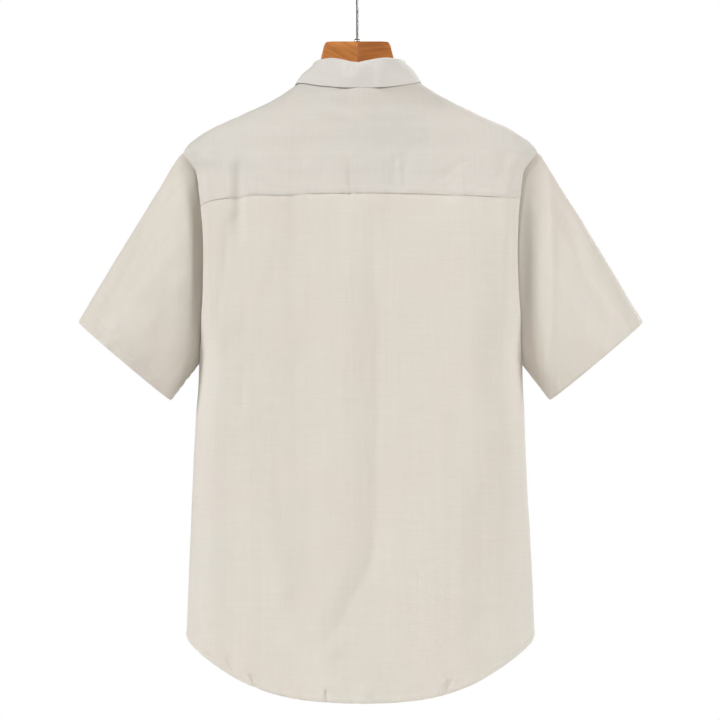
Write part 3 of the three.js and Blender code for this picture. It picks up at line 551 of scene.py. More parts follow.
def yoke_grid():
    """Rows down the ridge of the shoulder and then down the armholes to the seam, with places from the
    wearer's right edge to the left one."""
    place = np.linspace(-1, 1, YOKE_COLUMNS)[None, :]
    down = np.linspace(0, 1, YOKE_RIDGE_ROWS)[:-1, None]
    share = np.linspace(0, 1, YOKE_BACK_ROWS)[:, None]
    angle = YOKE_SEAM_ANGLE * share
    turn = place * np.concatenate([ridge_turn(down), armhole_turn(1, angle)])
    lower = row_level(angle, place) + share * yoke_seam_rise(place)
    return turn, np.concatenate([ridge_level(down) + 0 * place, lower])


turn, level = yoke_grid()
plain, normal, from_top, from_side, to_seam, to_side = on_body(turn, level)
lift = body_creases(plain, turn, BACK_SEED) + turned_edge(to_seam, from_side)
lift = lift + turned_edge(to_side, from_top, allowance=6, rise=0.3) + neck_dip(plain, turn)
lift = lift + 0.25 * ripple(from_side, from_top, 60, 45, YOKE_SEED)
lift = lift - 0.9 * hump(to_side, 6) * hump(plain[..., 2] - TIP_LEVEL, 14)
yoke_outer = plain + normal * lift[..., None]
yoke = cloth_wall("yoke_panel", yoke_outer, CLOTH, panel_uv(plain)[..., ::-1])
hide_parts("yoke")
tell("yoke", yoke, yoke_outer)

# %% [markdown]
# ## Back
# One plain panel hangs from the yoke to the curved hem. Its top edge goes under the yoke, its armhole
# edges stand over the sleeves, and its side seams lie in the hollow under the arms. The rows follow the
# armhole first and then the hem curve, so that both are clean edges of the grid.

# %% Back panel
BACK_COLUMNS, BACK_UPPER_ROWS, BODY_ROWS, HEM_ROWS = 170, 76, 148, 14
HEM_WIDTH, HEM_SHARE, BACK_HEM_SEED = 8.0, 0.032, 21
UNDER_YOKE = 0.03  # how far the back goes up under the yoke, as a share of its armhole
above_hem = np.linspace(0, 1 - HEM_SHARE, BODY_ROWS)[1:]
over_hem = np.linspace(1 - HEM_SHARE, 1, HEM_ROWS)[1:]
drop = np.concatenate([above_hem, over_hem])[:, None]


def down_to_hem(turn, middle):
    """Heights from the underarm to the hem, with closer rows over the hem."""
    return UNDERARM_LEVEL + (hem_level(turn, middle) - UNDERARM_LEVEL) * drop


def near_underarm(points):
    """1 above the underarm, where the panel meets a sleeve, and 0 below it, at the side seam."""
    return smooth(UNDERARM_LEVEL - 4, UNDERARM_LEVEL + 4, points[..., 2])


def back_grid():
    """Rows down the armholes from just above the yoke seam, then down the sides to the hem."""
    place = np.linspace(-1, 1, BACK_COLUMNS)[None, :]
    share = np.linspace(-UNDER_YOKE, 1, BACK_UPPER_ROWS)[:, None]
    angle = YOKE_SEAM_ANGLE + (math.pi - YOKE_SEAM_ANGLE) * share
    upper_turn = place * armhole_turn(1, angle)
    upper_level = row_level(angle, place) + (1 - share) * yoke_seam_rise(place)
    lower_turn = place * math.pi / 2
    lower_level = down_to_hem(lower_turn, HEM_BACK)
    turn = np.concatenate([upper_turn, np.broadcast_to(lower_turn, lower_level.shape)])
    return turn, np.concatenate([upper_level, lower_level])


turn, level = back_grid()
plain, normal, from_top, from_side, to_hem, to_side = on_body(turn, level)
on_armhole = near_underarm(plain)
lift = body_creases(plain, turn, BACK_SEED) + tucked_edge(from_top, 12, 0.85)
lift = lift + on_armhole * turned_edge(to_side, from_top, allowance=6)
lift = lift + (1 - on_armhole) * 0.25 * (1 - smooth(5, 7, to_side))
lift = lift + hem(to_hem, from_side, HEM_WIDTH, BACK_HEM_SEED)
back_outer = plain + normal * lift[..., None]
back = cloth_wall("back_panel", back_outer, CLOTH, panel_uv(plain))
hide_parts("back")
tell("back", back, back_outer)

# %% [markdown]
# ## Front
# The front is one panel too, cut open down the middle to the foot of the placket. Its shoulder edges go
# under the yoke. The slit is made by leaving squares out of the grid, and the wall is then closed round
# the hole like round any other edge.

# %% Front panel
FRONT_COLUMNS, FRONT_RIDGE_ROWS, FRONT_HEM_SEED = 139, 42, 27
SHOULDER_TUCK, SIDE_TUCK = 0.03, 0.035  # radians by which the front goes under the yoke and the back
SLIT_HALF, PLACKET_HALF, PLACKET_END = 11.0, 16.0, -445.0


def front_grid():
    """Rows down the shoulder seam, the armholes and the sides. Places run from the wearer's left edge,
    whose turn is the edge turn, to the right one, round the middle of the front at half a turn."""
    place = np.linspace(-1, 1, FRONT_COLUMNS)[None, :]
    down = np.linspace(0, 1, FRONT_RIDGE_ROWS)[:-1, None]
    to_seam = np.linspace(0, YOKE_SEAM_ANGLE, 26)[:-1]
    angle = np.concatenate([to_seam, np.linspace(YOKE_SEAM_ANGLE, math.pi, 72)])[:, None]
    edge_turn = np.concatenate([ridge_turn(down) - SHOULDER_TUCK, armhole_turn(1, -angle)])
    ridge = ridge_level(down) + 0 * place
    upper_turn = math.pi + place * (math.pi - edge_turn)
    lower_turn = math.pi + place * (math.pi / 2 + SIDE_TUCK * smooth(0, 0.06, drop))
    lower_level = down_to_hem(lower_turn, HEM_FRONT)
    turn = np.concatenate([upper_turn, lower_turn])
    return turn, np.concatenate([ridge, row_level(angle, place), lower_level]), len(down)


turn, level, ridge_count = front_grid()
plain, normal, from_top, from_side, to_hem, to_side = on_body(turn, level)
row = np.arange(len(plain), dtype=float)[:, None]
on_shoulder = 1 - smooth(ridge_count - 2, ridge_count + 1, row)
on_armhole = near_underarm(plain) * (1 - on_shoulder)
under_band = smooth(PLACKET_HALF + 10, PLACKET_HALF, np.abs(plain[..., 0]))
under_band = under_band * smooth(PLACKET_END - 12, PLACKET_END, plain[..., 2])
lift = body_creases(plain, turn, FRONT_SEED) * (1 - under_band)
lift = lift + on_shoulder * tucked_edge(to_side, 8, 1.2)
lift = lift + neck_dip(plain, turn) + on_armhole * turned_edge(to_side, from_top, allowance=6)
lift = lift + (1 - on_armhole - on_shoulder).clip(0) * tucked_edge(to_side, 9, 1.05)
lift = lift + hem(to_hem, from_side, HEM_WIDTH, FRONT_HEM_SEED)
front_outer = plain + normal * lift[..., None]
middle_of = (plain[:-1, :-1] + plain[1:, 1:]) / 2
slit = (np.abs(middle_of[..., 0]) < SLIT_HALF) & (middle_of[..., 2] > PLACKET_END + PLACKET_HALF)
front = cloth_wall("front_panel", front_outer, CLOTH, panel_uv(plain), keep=~slit)
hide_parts("front")
tell("front", front, front_outer)

# %% [markdown]
# ## Sleeves
# A sleeve is a short tube sewn into the armhole. Hung up, it falls straight down and out, so the cloth
# is hollow close to the armhole, behind the edge of the body, and full in the middle. The two sleeves
# hang differently. The left one dives steeply beside the body and has one long soft ridge from the
# shoulder down. The right one has a wider, flatter hollow and only slight folds.

# %% Sleeve tubes
SLEEVE_OUTER, SLEEVE_LOWER, SLEEVE_HALF_DEPTH = (359.0, -475.0), (241.0, -574.0), 48.0
SLEEVE_CROWN, SLEEVE_FULLNESS, SLEEVE_ROUNDNESS, LEFT_SLEEVE_LEAN = 2.0, 5.0, 0.85, 7
SLEEVE_HEM, SLEEVE_RADIUS, SLEEVE_COLUMNS = 18.0, 75, 180
MEASURED_RING = 60  # the ring whose lengths give the cloth's map
SLEEVE_RINGS = (  # share of the way down at the first ring, at the last, and their number
    (-0.038, -0.034, 3), (-0.034, -0.006, 12), (-0.006, 0.2, 24), (0.2, 0.88, 42), (0.88, 1, 22),
)

# line ((share of the way down, angle in degrees), ...), width towards angle 0, width away, height
LEFT_SLEEVE_CREASES = (
    (((0.02, 18), (0.16, 34), (0.35, 52), (0.59, 64), (0.95, 72)), 24, 52, 10.0),
    (((0.3, 22), (0.52, 34), (0.67, 40), (0.9, 46)), 15, 13, -2.4),
    (((0.35, 92), (0.75, 108)), 20, 24, -1.8),
    (((0.55, 124), (0.8, 130), (1.0, 128)), 12, 12, 1.2),
    (((0.05, 330), (0.35, 312), (0.8, 300)), 14, 10, 3.4),
    (((0.2, 300), (0.6, 278), (1.0, 270)), 11, 13, -2.2),
    (((0.4, 246), (0.9, 236)), 12, 14, 1.6),
)
RIGHT_SLEEVE_CREASES = (
    (((0.02, 14), (0.18, 30), (0.35, 72), (0.56, 118)), 12, 14, 2.4),
    (((0.2, 22), (0.44, 38), (0.58, 46), (0.9, 58)), 14, 16, -2.2),
    (((0.6, 96), (0.85, 84), (1.0, 80)), 14, 14, 1.4),
    (((0.08, 336), (0.4, 316), (0.9, 304)), 12, 12, 3.0),
    (((0.3, 296), (0.7, 284), (1.0, 282)), 13, 11, -2.0),
    (((0.5, 240), (1.0, 250)), 12, 12, 1.4),
)
LEFT_HOLLOW_DEPTH, RIGHT_HOLLOW_DEPTH = 18.5, 13.5
STEEP_WIDTH, STEEP_SOFT, SLOW_WIDTH, SLOW_SOFT, SLOW_SHARE = 20.0, 0.12, 70.0, 0.3, 0.26
FLOOR_END, RISE_END = 6.0, 44.0


def out_of_armhole(side, points, back):
    """How far a point of the sleeve lies out beyond the edge of the body at its own height."""
    angle = np.linspace(0, math.pi, 121)
    edges = [body_point(armhole_turn(side, half * angle), armhole_level(angle)) for half in (1, -1)]
    behind, before = (np.interp(-points[..., 2], -edge[:, 2], side * edge[:, 0]) for edge in edges)
    return side * points[..., 0] - np.where(back, behind, before)


def ramp(distance, width, soft):
    """A straight slope from 1 at the edge down to 0 at the width, with a soft end: half of u plus the
    root of u^2 + soft^2, where u is 1 - distance / width."""
    left = 1 - distance / width
    return (left + np.sqrt(left ** 2 + soft ** 2)) / 2


def hollow_depth(side, beyond):
    """How deep the cloth lies at its distance beyond the edge of the body. The left hollow rises in a
    steep straight slope, and for a share of its depth in a slow one. The right one has a flat floor."""
    if side < 0:
        return RIGHT_HOLLOW_DEPTH * (1 - smooth(FLOOR_END, RISE_END, beyond))
    steep, slow = ramp(beyond, STEEP_WIDTH, STEEP_SOFT), ramp(beyond, SLOW_WIDTH, SLOW_SOFT)
    return LEFT_HOLLOW_DEPTH * ((1 - SLOW_SHARE) * steep + SLOW_SHARE * slow)


def sleeve_point(side, angle, along):
    """From the armhole to the hem ellipse in a straight line, plus a crown on top that is
    sin(pi along) high, fullness front and back, and the hollow beside the armhole, which is weaker
    towards the underarm and gone at the seam and at the hem."""
    s, c = np.sin(angle), np.cos(angle)
    start = body_point(armhole_turn(side, angle), armhole_level(angle))
    half_x, half_z = (SLEEVE_OUTER[0] - SLEEVE_LOWER[0]) / 2, (SLEEVE_OUTER[1] - SLEEVE_LOWER[1]) / 2
    mid_x, mid_z = (SLEEVE_OUTER[0] + SLEEVE_LOWER[0]) / 2, (SLEEVE_OUTER[1] + SLEEVE_LOWER[1]) / 2
    depth = SLEEVE_HALF_DEPTH * np.sign(s) * np.abs(s) ** SLEEVE_ROUNDNESS
    depth = depth - (LEFT_SLEEVE_LEAN if side > 0 else 0) * c
    way = np.stack([side * (mid_x + half_x * c), depth, mid_z + half_z * c], axis=-1) - start
    swell = np.sin(math.pi * np.clip(along, 0, 1))
    shallower = (1 - 0.4 * smooth(0.1, 0.8, -c)) * smooth(-0.034, -0.008, along)
    shallower = shallower * (1 - smooth(0.6, 0.98, along))
    along = np.where(along < 0, along * (0.25 + 0.75 * np.abs(s)), along)[..., None]
    beyond = out_of_armhole(side, start + way * along, s >= 0)
    hollow = hollow_depth(side, beyond) * np.abs(s) ** np.where(c > 0, 2.8, 1.2) * shallower
    crown = SLEEVE_CROWN * swell * np.maximum(0, c) / math.hypot(half_x, half_z)
    fullness = SLEEVE_FULLNESS * swell * s - hollow * np.sign(s)
    return start + way * along + np.stack([side * crown * half_x, fullness, crown * half_z], axis=-1)


def sleeve_creases(table, angle, along):
    """Bells across lines that run down the sleeve. A line gives the angle at each share of the way,
    which the sleeve's radius turns into millimetres of cloth. One that reaches the hem is not ended."""
    height = np.zeros_like(angle)
    for line, near, far, rise in table:
        line_along, line_angle = np.array(line, float).T
        off = angle % (2 * math.pi) - curve_through(line_along, line_angle * DEGREE, along)
        off = off * SLEEVE_RADIUS
        start, end = line_along[0], line_along[-1]
        ended = 0.4 * smooth(0.8, 1, along) if end >= 1 else smooth(end - 0.12, end + 0.06, along)
        ends = smooth(start - 0.02, start + 0.16, along) * (1 - ended)
        height += rise * np.where(off < 0, hump(off, near), hump(off, far)) * ends
    return height


def sleeve_piece(name, node, side, table, seed):
    """Rings of the sleeve from just inside the armhole to its hem, turning so that the cloth's outer
    face is on the right hand of the rows."""
    angle = np.linspace(-math.pi, math.pi, SLEEVE_COLUMNS + 1)[:-1][None, :]
    shares = [np.linspace(first, last, count)[:-1] for first, last, count in SLEEVE_RINGS]
    angle, along = np.broadcast_arrays(angle[:, ::-side], np.concatenate([*shares, [1.0]])[:, None])
    points = sleeve_point(side, angle, along)
    from_seam, round_ = run_length(points, 0), run_length(points, 1)
    crown = 1.3 * smooth(0, 0.03, along) * hump(along, 0.16) * np.maximum(0, np.cos(angle))
    under = 0.4 + 0.7 * smooth(0.15, 0.5, np.abs(np.sin(angle)))
    lift = sleeve_creases(table, angle, along)
    lift = lift + 0.3 * ripple(round_, from_seam, 52, 150, seed) * smooth(0.05, 0.3, along)
    lift = lift + crown - under * (1 - smooth(-0.006, 0.03, along))
    lift = lift + hem(from_seam[-1:] - from_seam, round_, SLEEVE_HEM, seed + 3, 0.3)
    outer = points + grid_normals(points, True) * lift[..., None]
    uv = np.stack(np.broadcast_arrays(round_[MEASURED_RING], from_seam), axis=-1)
    piece = cloth_wall(name, outer, CLOTH, uv, wraps=True)
    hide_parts(node)
    tell(node, piece, outer, True)
    return piece, outer


left_sleeve, left_sleeve_outer = sleeve_piece(
    "left_sleeve_tube", "sleeve_left", 1, LEFT_SLEEVE_CREASES, 61)
right_sleeve, right_sleeve_outer = sleeve_piece(
    "right_sleeve_tube", "sleeve_right", -1, RIGHT_SLEEVE_CREASES, 67)

# %% [markdown]
# ## Collar
# The collar has two parts. The stand is a band round the neck whose ends lap at the front. The leaf
# comes up out of it, turns over in a small roll and falls to its edge, further from the neck than the
# stand, with its points at the front. It is fused and pressed, so it is stiffer than the rest: only a
# few soft dents, and a row of stitches along its edge.

# %% Collar stand and leaf
COLLAR, COLLAR_STITCH = 1.2, 4.5
STAND_TOP_HALF, STAND_TOP_SHIFT, STAND_TOP_BACK, STAND_TOP_FRONT = 53.5, 2.0, 50.0, 56.0
STAND_LIFT, STAND_LAP, COLLAR_SOLID = 0.5, 1.15, 1.8
FOLD_RADIUS, FOLD_RISE, LEAF_LIFT, LEAF_BULGE = 3.0, 2.0, 0.6, 3.0
FOLD_TURNS, FOLD_TOPS = (0, 45, 90, 130, 160, 180), (-148, -142, -142, -168, -203, -216)
FOLD_FALLS = ((4.2, 95, 28), (1.8, 10, 16))  # depth, middle and width in degrees
EDGE_TURNS = (0, 45, 90, 120, 150, 174)
EDGE_BODY_TURNS = (0, 45, 90, 122, 150, 168)
EDGE_LEVELS = (-165, -169, -173, -182, -200, -238)
EDGE_CLEARS = (1.0, 0.4, 0.1, 0.3, 0.9, 2.6)
# height, middle x and width of what stands out on the back of the leaf, and of what leans there
LEAF_BELLS = ((0.9, 22, 9), (0.8, -27, 7))
LEAF_TILTS = ((2.2, -1, 17), (-1.3, 46, 15), (-0.5, -44, 14))
STAND_END, LEAF_END = 194 * DEGREE, 174 * DEGREE
STAND_COLUMNS, LEAF_COLUMNS, LEAF_SEED = 280, 300, 83
UPRIGHT_END, FOLD_END = 0.1, 0.35  # shares of the leaf's way at which it has risen and has turned over
Z_AXIS = np.array([0.0, 0.0, 1.0])


def stand_point(turn, rise):
    """From the neck seam (rise 0) in a straight line to an oval under the collar's fold (rise 1), and
    out by the lap at the front ends."""
    turn, rise = np.broadcast_arrays(turn, rise)
    whole = np.where(np.abs(turn) > math.pi, 2 * math.pi - np.abs(turn), np.abs(turn))
    bottom = body_point(turn, NECK_LEVEL) + STAND_LIFT * Z_AXIS
    depth = np.where(np.cos(turn) >= 0, STAND_TOP_BACK, STAND_TOP_FRONT)
    above = LEAF_LIFT + FOLD_RISE + FOLD_RADIUS + COLLAR_SOLID / 2
    top_z = curve_through(FOLD_TURNS, FOLD_TOPS, whole / DEGREE) - above
    for fall, middle, width in FOLD_FALLS:
        top_z = top_z - fall * hump(turn / DEGREE - middle, width)
    top_x = STAND_TOP_SHIFT + STAND_TOP_HALF * np.sin(turn)
    top = np.stack([top_x, depth * np.cos(turn), top_z], axis=-1)
    lap = STAND_LAP * smooth(150, 172, np.abs(turn) / DEGREE) * np.sign(turn)
    out = np.stack([np.sin(turn), np.cos(turn), 0 * turn], axis=-1)
    return bottom + (top - bottom) * rise[..., None] + out * lap[..., None]


def stand_normal(turn, rise):
    return surface_normal(lambda t, r: stand_point(t, -r), turn, -rise, 0.004, 0.02)


def leaf_point(turn, way):
    """The middle of the leaf's cloth. A way of 0 to 0.1 goes straight up out of the stand, to 0.35
    round a half circle, and to 1 down in a line with a slight swell to a point just off the body."""
    turn, way = np.broadcast_arrays(turn, way)
    out = unit(stand_normal(turn, np.ones_like(turn)) * [1, 1, 0])
    root = stand_point(turn, np.ones_like(turn)) - out * COLLAR_SOLID / 2 + LEAF_LIFT * Z_AXIS
    rise = FOLD_RISE * np.clip(way / UPRIGHT_END, 0, 1)
    bend = math.pi * np.clip((way - UPRIGHT_END) / (FOLD_END - UPRIGHT_END), 0, 1)
    outward, upward = FOLD_RADIUS * (1 - np.cos(bend)), rise + FOLD_RADIUS * np.sin(bend)
    folded = root + out * outward[..., None] + Z_AXIS * upward[..., None]
    degrees = np.abs(turn) / DEGREE
    body_turn = np.sign(turn) * curve_through(EDGE_TURNS, EDGE_BODY_TURNS, degrees) * DEGREE
    edge_level = curve_through(EDGE_TURNS, EDGE_LEVELS, degrees)
    edge_level = edge_level + np.where(turn < 0, 4, 0) * hump(degrees - 92, 20)
    clear = curve_through(EDGE_TURNS, EDGE_CLEARS, degrees) + COLLAR_SOLID / 2
    clear = clear - np.where(turn < 0, 1.7, 0.9) * hump(degrees - 92, 22)
    edge = body_point(body_turn, edge_level) + body_normal(body_turn, edge_level) * clear[..., None]
    down = np.clip((way - FOLD_END) / (1 - FOLD_END), 0, 1)[..., None]
    swell = LEAF_BULGE * np.sin(math.pi * down)
    return folded + (edge - folded) * down + out * swell


stand_turn = np.linspace(-STAND_END, STAND_END, STAND_COLUMNS)[None, :]
stand_rise = np.linspace(1, 0, 13)[:, None]
stand_outer = stand_point(stand_turn, stand_rise)
stand_uv = np.stack(np.broadcast_arrays(run_length(stand_outer, 1), 30 * (1 - stand_rise)), axis=-1)
stand = cloth_wall("collar_stand_band", stand_outer, COLLAR, stand_uv)
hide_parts("collar_stand")

leaf_turn = np.linspace(-LEAF_END, LEAF_END, LEAF_COLUMNS)[None, :]
leaf_way = np.concatenate([np.linspace(0, FOLD_END, 18)[:-1], np.linspace(FOLD_END, 1, 36)])[:, None]
leaf_middle = leaf_point(leaf_turn, leaf_way)
leaf_round, leaf_down = run_length(leaf_middle, 1), run_length(leaf_middle, 0)
leaf_to_edge = leaf_down[-1:] - leaf_down
leaf_to_end = np.minimum(leaf_round, leaf_round[:, -1:] - leaf_round)
leaf_x, leaf_z = leaf_middle[..., 0], leaf_middle[..., 2]
at_back = (np.cos(leaf_turn) > 0) * smooth(0.2, 0.45, leaf_way)
hollow = np.where(leaf_x < -14, hump(leaf_x + 14, 7), hump(leaf_x + 14, 15))
dents = -1.7 * hump(leaf_x - 11, 4) * hump(leaf_z + 153, 9) - 2.2 * hollow * hump(leaf_z + 166, 22)
dents = at_back * dents + at_back * bells(LEAF_BELLS, leaf_x)
upward = 2 * smooth(-180, -154, leaf_z) - 1
dents = dents + at_back * upward * bells(LEAF_TILTS, leaf_x)
dents = dents - at_back * 0.8 * hump(leaf_x - 44 - (leaf_z + 165) * 0.5, 5)
edge_lift = turned_edge(leaf_to_edge, leaf_round, 5, COLLAR_STITCH) * 0.8
edge_lift = edge_lift + turned_edge(leaf_to_end, leaf_down, 5, COLLAR_STITCH) * 0.8
leaf_lift = COLLAR_SOLID / 2 + dents + edge_lift
leaf_lift = leaf_lift + 0.3 * ripple(leaf_round, leaf_down, 70, 60, LEAF_SEED)
leaf_outer = leaf_middle + grid_normals(leaf_middle) * leaf_lift[..., None]
leaf = cloth_wall("collar_leaf_fold", leaf_outer, COLLAR, np.stack([leaf_down, leaf_round], axis=-1))
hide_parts("collar_leaf")
tell("stand", stand, stand_outer)
tell("leaf", leaf, leaf_outer)

# %% [markdown]
# ## Placket
# The slit of the front is bound by two bands. The upper one carries the buttonholes and is sewn down
# round its edge, the other lies behind it and carries the buttons. Both follow the front, a little
# further out or in than the panel itself.

# %% Placket bands
TOP_BAND_OUT, UNDER_BAND_OUT, BAND_SEED = 2.1, -2.4, 91


def placket_band(name, node, out, count=200, columns=26):
    """A strip 32 mm wide over the front: the body's points at x from +16 to -16 mm, moved along the
    body's normal by out."""
    levels = np.linspace(NECK_LEVEL - 3, PLACKET_END, count)[:, None]
    x = np.linspace(PLACKET_HALF, -PLACKET_HALF, columns)[None, :]
    turn = math.pi - np.arcsin(x / section("half_width", levels))
    levels = np.broadcast_to(levels, turn.shape)
    plain = body_point(turn, levels)
    normal = body_normal(turn, levels)
    side = PLACKET_HALF - np.abs(plain[..., 0])
    run = run_length(plain, 0)
    to_end = run[-1:] - run
    relief = 0.5 * turned_edge(side, run, 30, 2) + 0.5 * turned_edge(to_end, plain[..., 0], 30, 2)
    relief = relief + 0.2 * ripple(plain[..., 0], run, 30, 60, BAND_SEED)
    outer = plain + normal * (out + relief[..., None])
    band = cloth_wall(name, outer, CLOTH, np.stack([plain[..., 0] + PLACKET_HALF, run], axis=-1))
    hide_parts(node)
    tell(node, band, outer)
    return band, outer


top_band, top_band_outer = placket_band("top_placket_band", "placket_over", TOP_BAND_OUT)
under_band_piece, _ = placket_band("under_placket_band", "placket_under", UNDER_BAND_OUT, 120, 14)

# %% [markdown]
# ## Sewing thread
# Every row of stitches is real thread here. One stitch is a small lens of five-sided rings, and a row
# repeats it along a path at an even pitch, dipping into the cloth at both ends. The whole row is
# computed at once: the stitch's own few points, turned into each place's directions.

# %% Rows of stitches
STITCH_STATIONS = np.array([-1.0, -0.45, 0.45, 1.0])
SEAM_STITCH, PLACKET_CROSS = 2.0, 34.0  # how far rows of stitches lie from an edge


def full_turn(count):
    """The angles of that many points evenly round a circle."""
    return np.arange(count) * 2 * math.pi / count


def tube_faces(rings, sides):
    """The squares between rings whose points are numbered ring after ring: a point, the next one on
    its ring, and the two beside them on the ring after."""
    ring, steps = np.arange(sides), (np.arange(rings - 1) * sides)[:, None]
    after = np.roll(ring, -1)
    walls = [ring + steps, after + steps, after + steps + sides, ring + steps + sides]
    return np.stack(walls, axis=-1).reshape(-1, 4)


def end_faces(rings, sides):
    """The flat faces that close such a tube at its first and last ring."""
    ring = np.arange(sides)
    return np.stack([ring[::-1], ring + (rings - 1) * sides])


def closed(points):
    """The points of a loop with the first one again at the end."""
    return np.concatenate([points, points[:1]])


def stitch_shape(length, radius, sides):
    """One stitch in its own directions (along, out, across): rings at four stations whose radius is
    the root of 1.06 - s^4, and whose height falls by s^2."""
    angle, s = full_turn(sides), STITCH_STATIONS[:, None]
    size = radius * np.sqrt(1.06 - s ** 4)
    out = radius * (0.5 - 1.7 * s ** 2) + size * np.sin(angle)
    return np.stack([s * length / 2 + 0 * angle, out, size * np.cos(angle)], axis=-1).reshape(-1, 3)


def evenly_along(path, normals, pitch):
    """Places at an even pitch along a path, with their directions along it and out of the cloth."""
    run = run_length(path, 0)
    at = np.arange(pitch / 2, run[-1], pitch)

    def read(values, where):
        return np.stack([np.interp(where, run, values[:, i]) for i in range(3)], axis=1)

    return read(path, at), unit(read(path, at + 0.4) - read(path, at - 0.4)), unit(read(normals, at))


def stitch_rows(name, rows, pitch=2.8, length=2.1, radius=0.2, turned=False, sides=5):
    """All the stitches of several rows as one piece: place + along a + out b + across c for each point
    (a, b, c) of the stitch. Turned stitches lie across their path."""
    shape = stitch_shape(length, radius, sides)
    places = [evenly_along(path, normals, pitch) for path, normals in rows]
    place, along, out = (np.concatenate([p[i] for p in places]) for i in range(3))
    across = np.cross(along, out)
    if turned:
        along, across = across, -along
    axes = np.stack([along, out, across], axis=1)
    points = place[:, None] + np.einsum("pk,nkx->npx", shape, axes)
    base = (np.arange(len(place)) * len(shape))[:, None, None]
    faces = []
    for kind in (tube_faces(4, sides), end_faces(4, sides)):
        faces += (kind + base).reshape(-1, kind.shape[1])[:, ::-1].tolist()
    return new_piece(name, points.reshape(-1, 3) + SHIRT_CENTRE, faces, sharp=80)


def inside_edge(outer, distance, axis, from_end, wraps=False):
    """A path that stays a distance inside one edge of a grid of cloth: each line across that edge is
    read at the distance from it."""
    normals = grid_normals(outer, wraps)
    grid, across = (outer, normals) if axis == 0 else (outer.swapaxes(0, 1), normals.swapaxes(0, 1))
    if from_end:
        grid, across = grid[::-1], across[::-1]
    run = run_length(grid, 0)
    index = np.clip((run < distance).sum(axis=0), 1, len(grid) - 1)
    column = np.arange(grid.shape[1])
    before, after = run[index - 1, column], run[index, column]
    share = ((distance - before) / np.maximum(after - before, 1e-6))[:, None]
    path = grid[index - 1, column] * (1 - share) + grid[index, column] * share
    path_normals = unit(across[index - 1, column] * (1 - share) + across[index, column] * share)
    return (closed(path), closed(path_normals)) if wraps else (path, path_normals)


def side_rows(outer, distance, first=None, last=None):
    """The paths inside both sides of a grid of cloth, without their first and last few points."""
    rows = [inside_edge(outer, distance, 1, end) for end in (False, True)]
    return [(path[first:last], normals[first:last]) for path, normals in rows]


yoke_rows = [inside_edge(yoke_outer, SEAM_STITCH, 0, True), *side_rows(yoke_outer, SEAM_STITCH, 6)]
armhole_rows = side_rows(back_outer, SEAM_STITCH, 4, 75)
armhole_rows += side_rows(front_outer, SEAM_STITCH, ridge_count + 1, ridge_count + 96)
hem_rows = [inside_edge(outer, HEM_WIDTH, 0, True) for outer in (back_outer, front_outer)]
sleeve_rows = [inside_edge(outer, SLEEVE_HEM, 0, True, True)
               for outer in (left_sleeve_outer, right_sleeve_outer)]
collar_path, collar_normals = inside_edge(leaf_outer, COLLAR_STITCH, 0, True)
collar_rows = [(collar_path[8:-8], collar_normals[8:-8]), *side_rows(leaf_outer, COLLAR_STITCH, 20, -5)]
placket_rows = side_rows(top_band_outer, SEAM_STITCH, None, -2)
placket_rows += [inside_edge(top_band_outer, gap, 0, True) for gap in (SEAM_STITCH, PLACKET_CROSS)]
thread_pieces = {
    "back": stitch_rows("yoke_seam_stitches", yoke_rows),
    "armhole": stitch_rows("armhole_stitches", armhole_rows),
    "hem": stitch_rows("body_hem_stitches", hem_rows),
    "sleeve": stitch_rows("sleeve_hem_stitches", sleeve_rows),
    "collar": stitch_rows("collar_edge_stitches", collar_rows, 2.4, 1.8, 0.18),
    "placket": stitch_rows("placket_stitches", placket_rows, 2.6, 2.0, 0.18),
}
print("stitch triangles", sum(len(p.data.polygons) * 2 for p in thread_pieces.values()))

# %% [markdown]
# ## Buttons
# Small round four-hole buttons with a raised rim, 11 mm across. A square grid is pressed into a disc,
# because it puts its points evenly over the face, and the four holes are pressed down through it. Each
# is held by two loops of thread and stands a little off the cloth on its shank.

# %% Buttons, their threads and buttonholes
BUTTON_RADIUS, BUTTON_HEIGHT, RIM_HEIGHT, HOLE_RADIUS, HOLE_OFFSET = 5.5, 2.2, 0.5, 0.9, 1.6
BUTTON_PLACES = ((-236.0, 1.2), (-315.0, 0.35), (-400.0, 0.35))  # level and shank of each
NECK_BUTTON_SHANK, PIT_FLOOR = 0.6, 0.42  # the pits end at this share of the button's height
THREAD_RADIUS, THREAD_SINK, THREAD_ARCH, THREAD_DIVE = 0.32, 0.35, 0.3, 1.3
BUTTONHOLE_HALF, BUTTONHOLE_APART = 7.0, 0.75


def button_face(count=56):
    """x and y of a square grid pressed into a disc, x sqrt(1 - y^2 / 2), and the height of the face:
    a rim 0.5 mm above the dish, a rounded edge, and four pits."""
    a, b = np.meshgrid(np.linspace(-1, 1, count), np.linspace(1, -1, count))
    x, y = a * np.sqrt(1 - b * b / 2) * BUTTON_RADIUS, b * np.sqrt(1 - a * a / 2) * BUTTON_RADIUS
    r = np.hypot(x, y)
    dish = RIM_HEIGHT * smooth(BUTTON_RADIUS * 0.55, BUTTON_RADIUS * 0.78, r)
    rounding = 0.55 * smooth(BUTTON_RADIUS * 0.86, BUTTON_RADIUS, r) ** 2
    from_hole = np.hypot(np.abs(x) - HOLE_OFFSET, np.abs(y) - HOLE_OFFSET)
    pits = 1 - smooth(HOLE_RADIUS * 0.75, HOLE_RADIUS * 1.1, from_hole)
    return x, y, BUTTON_HEIGHT - RIM_HEIGHT + dish - rounding, pits


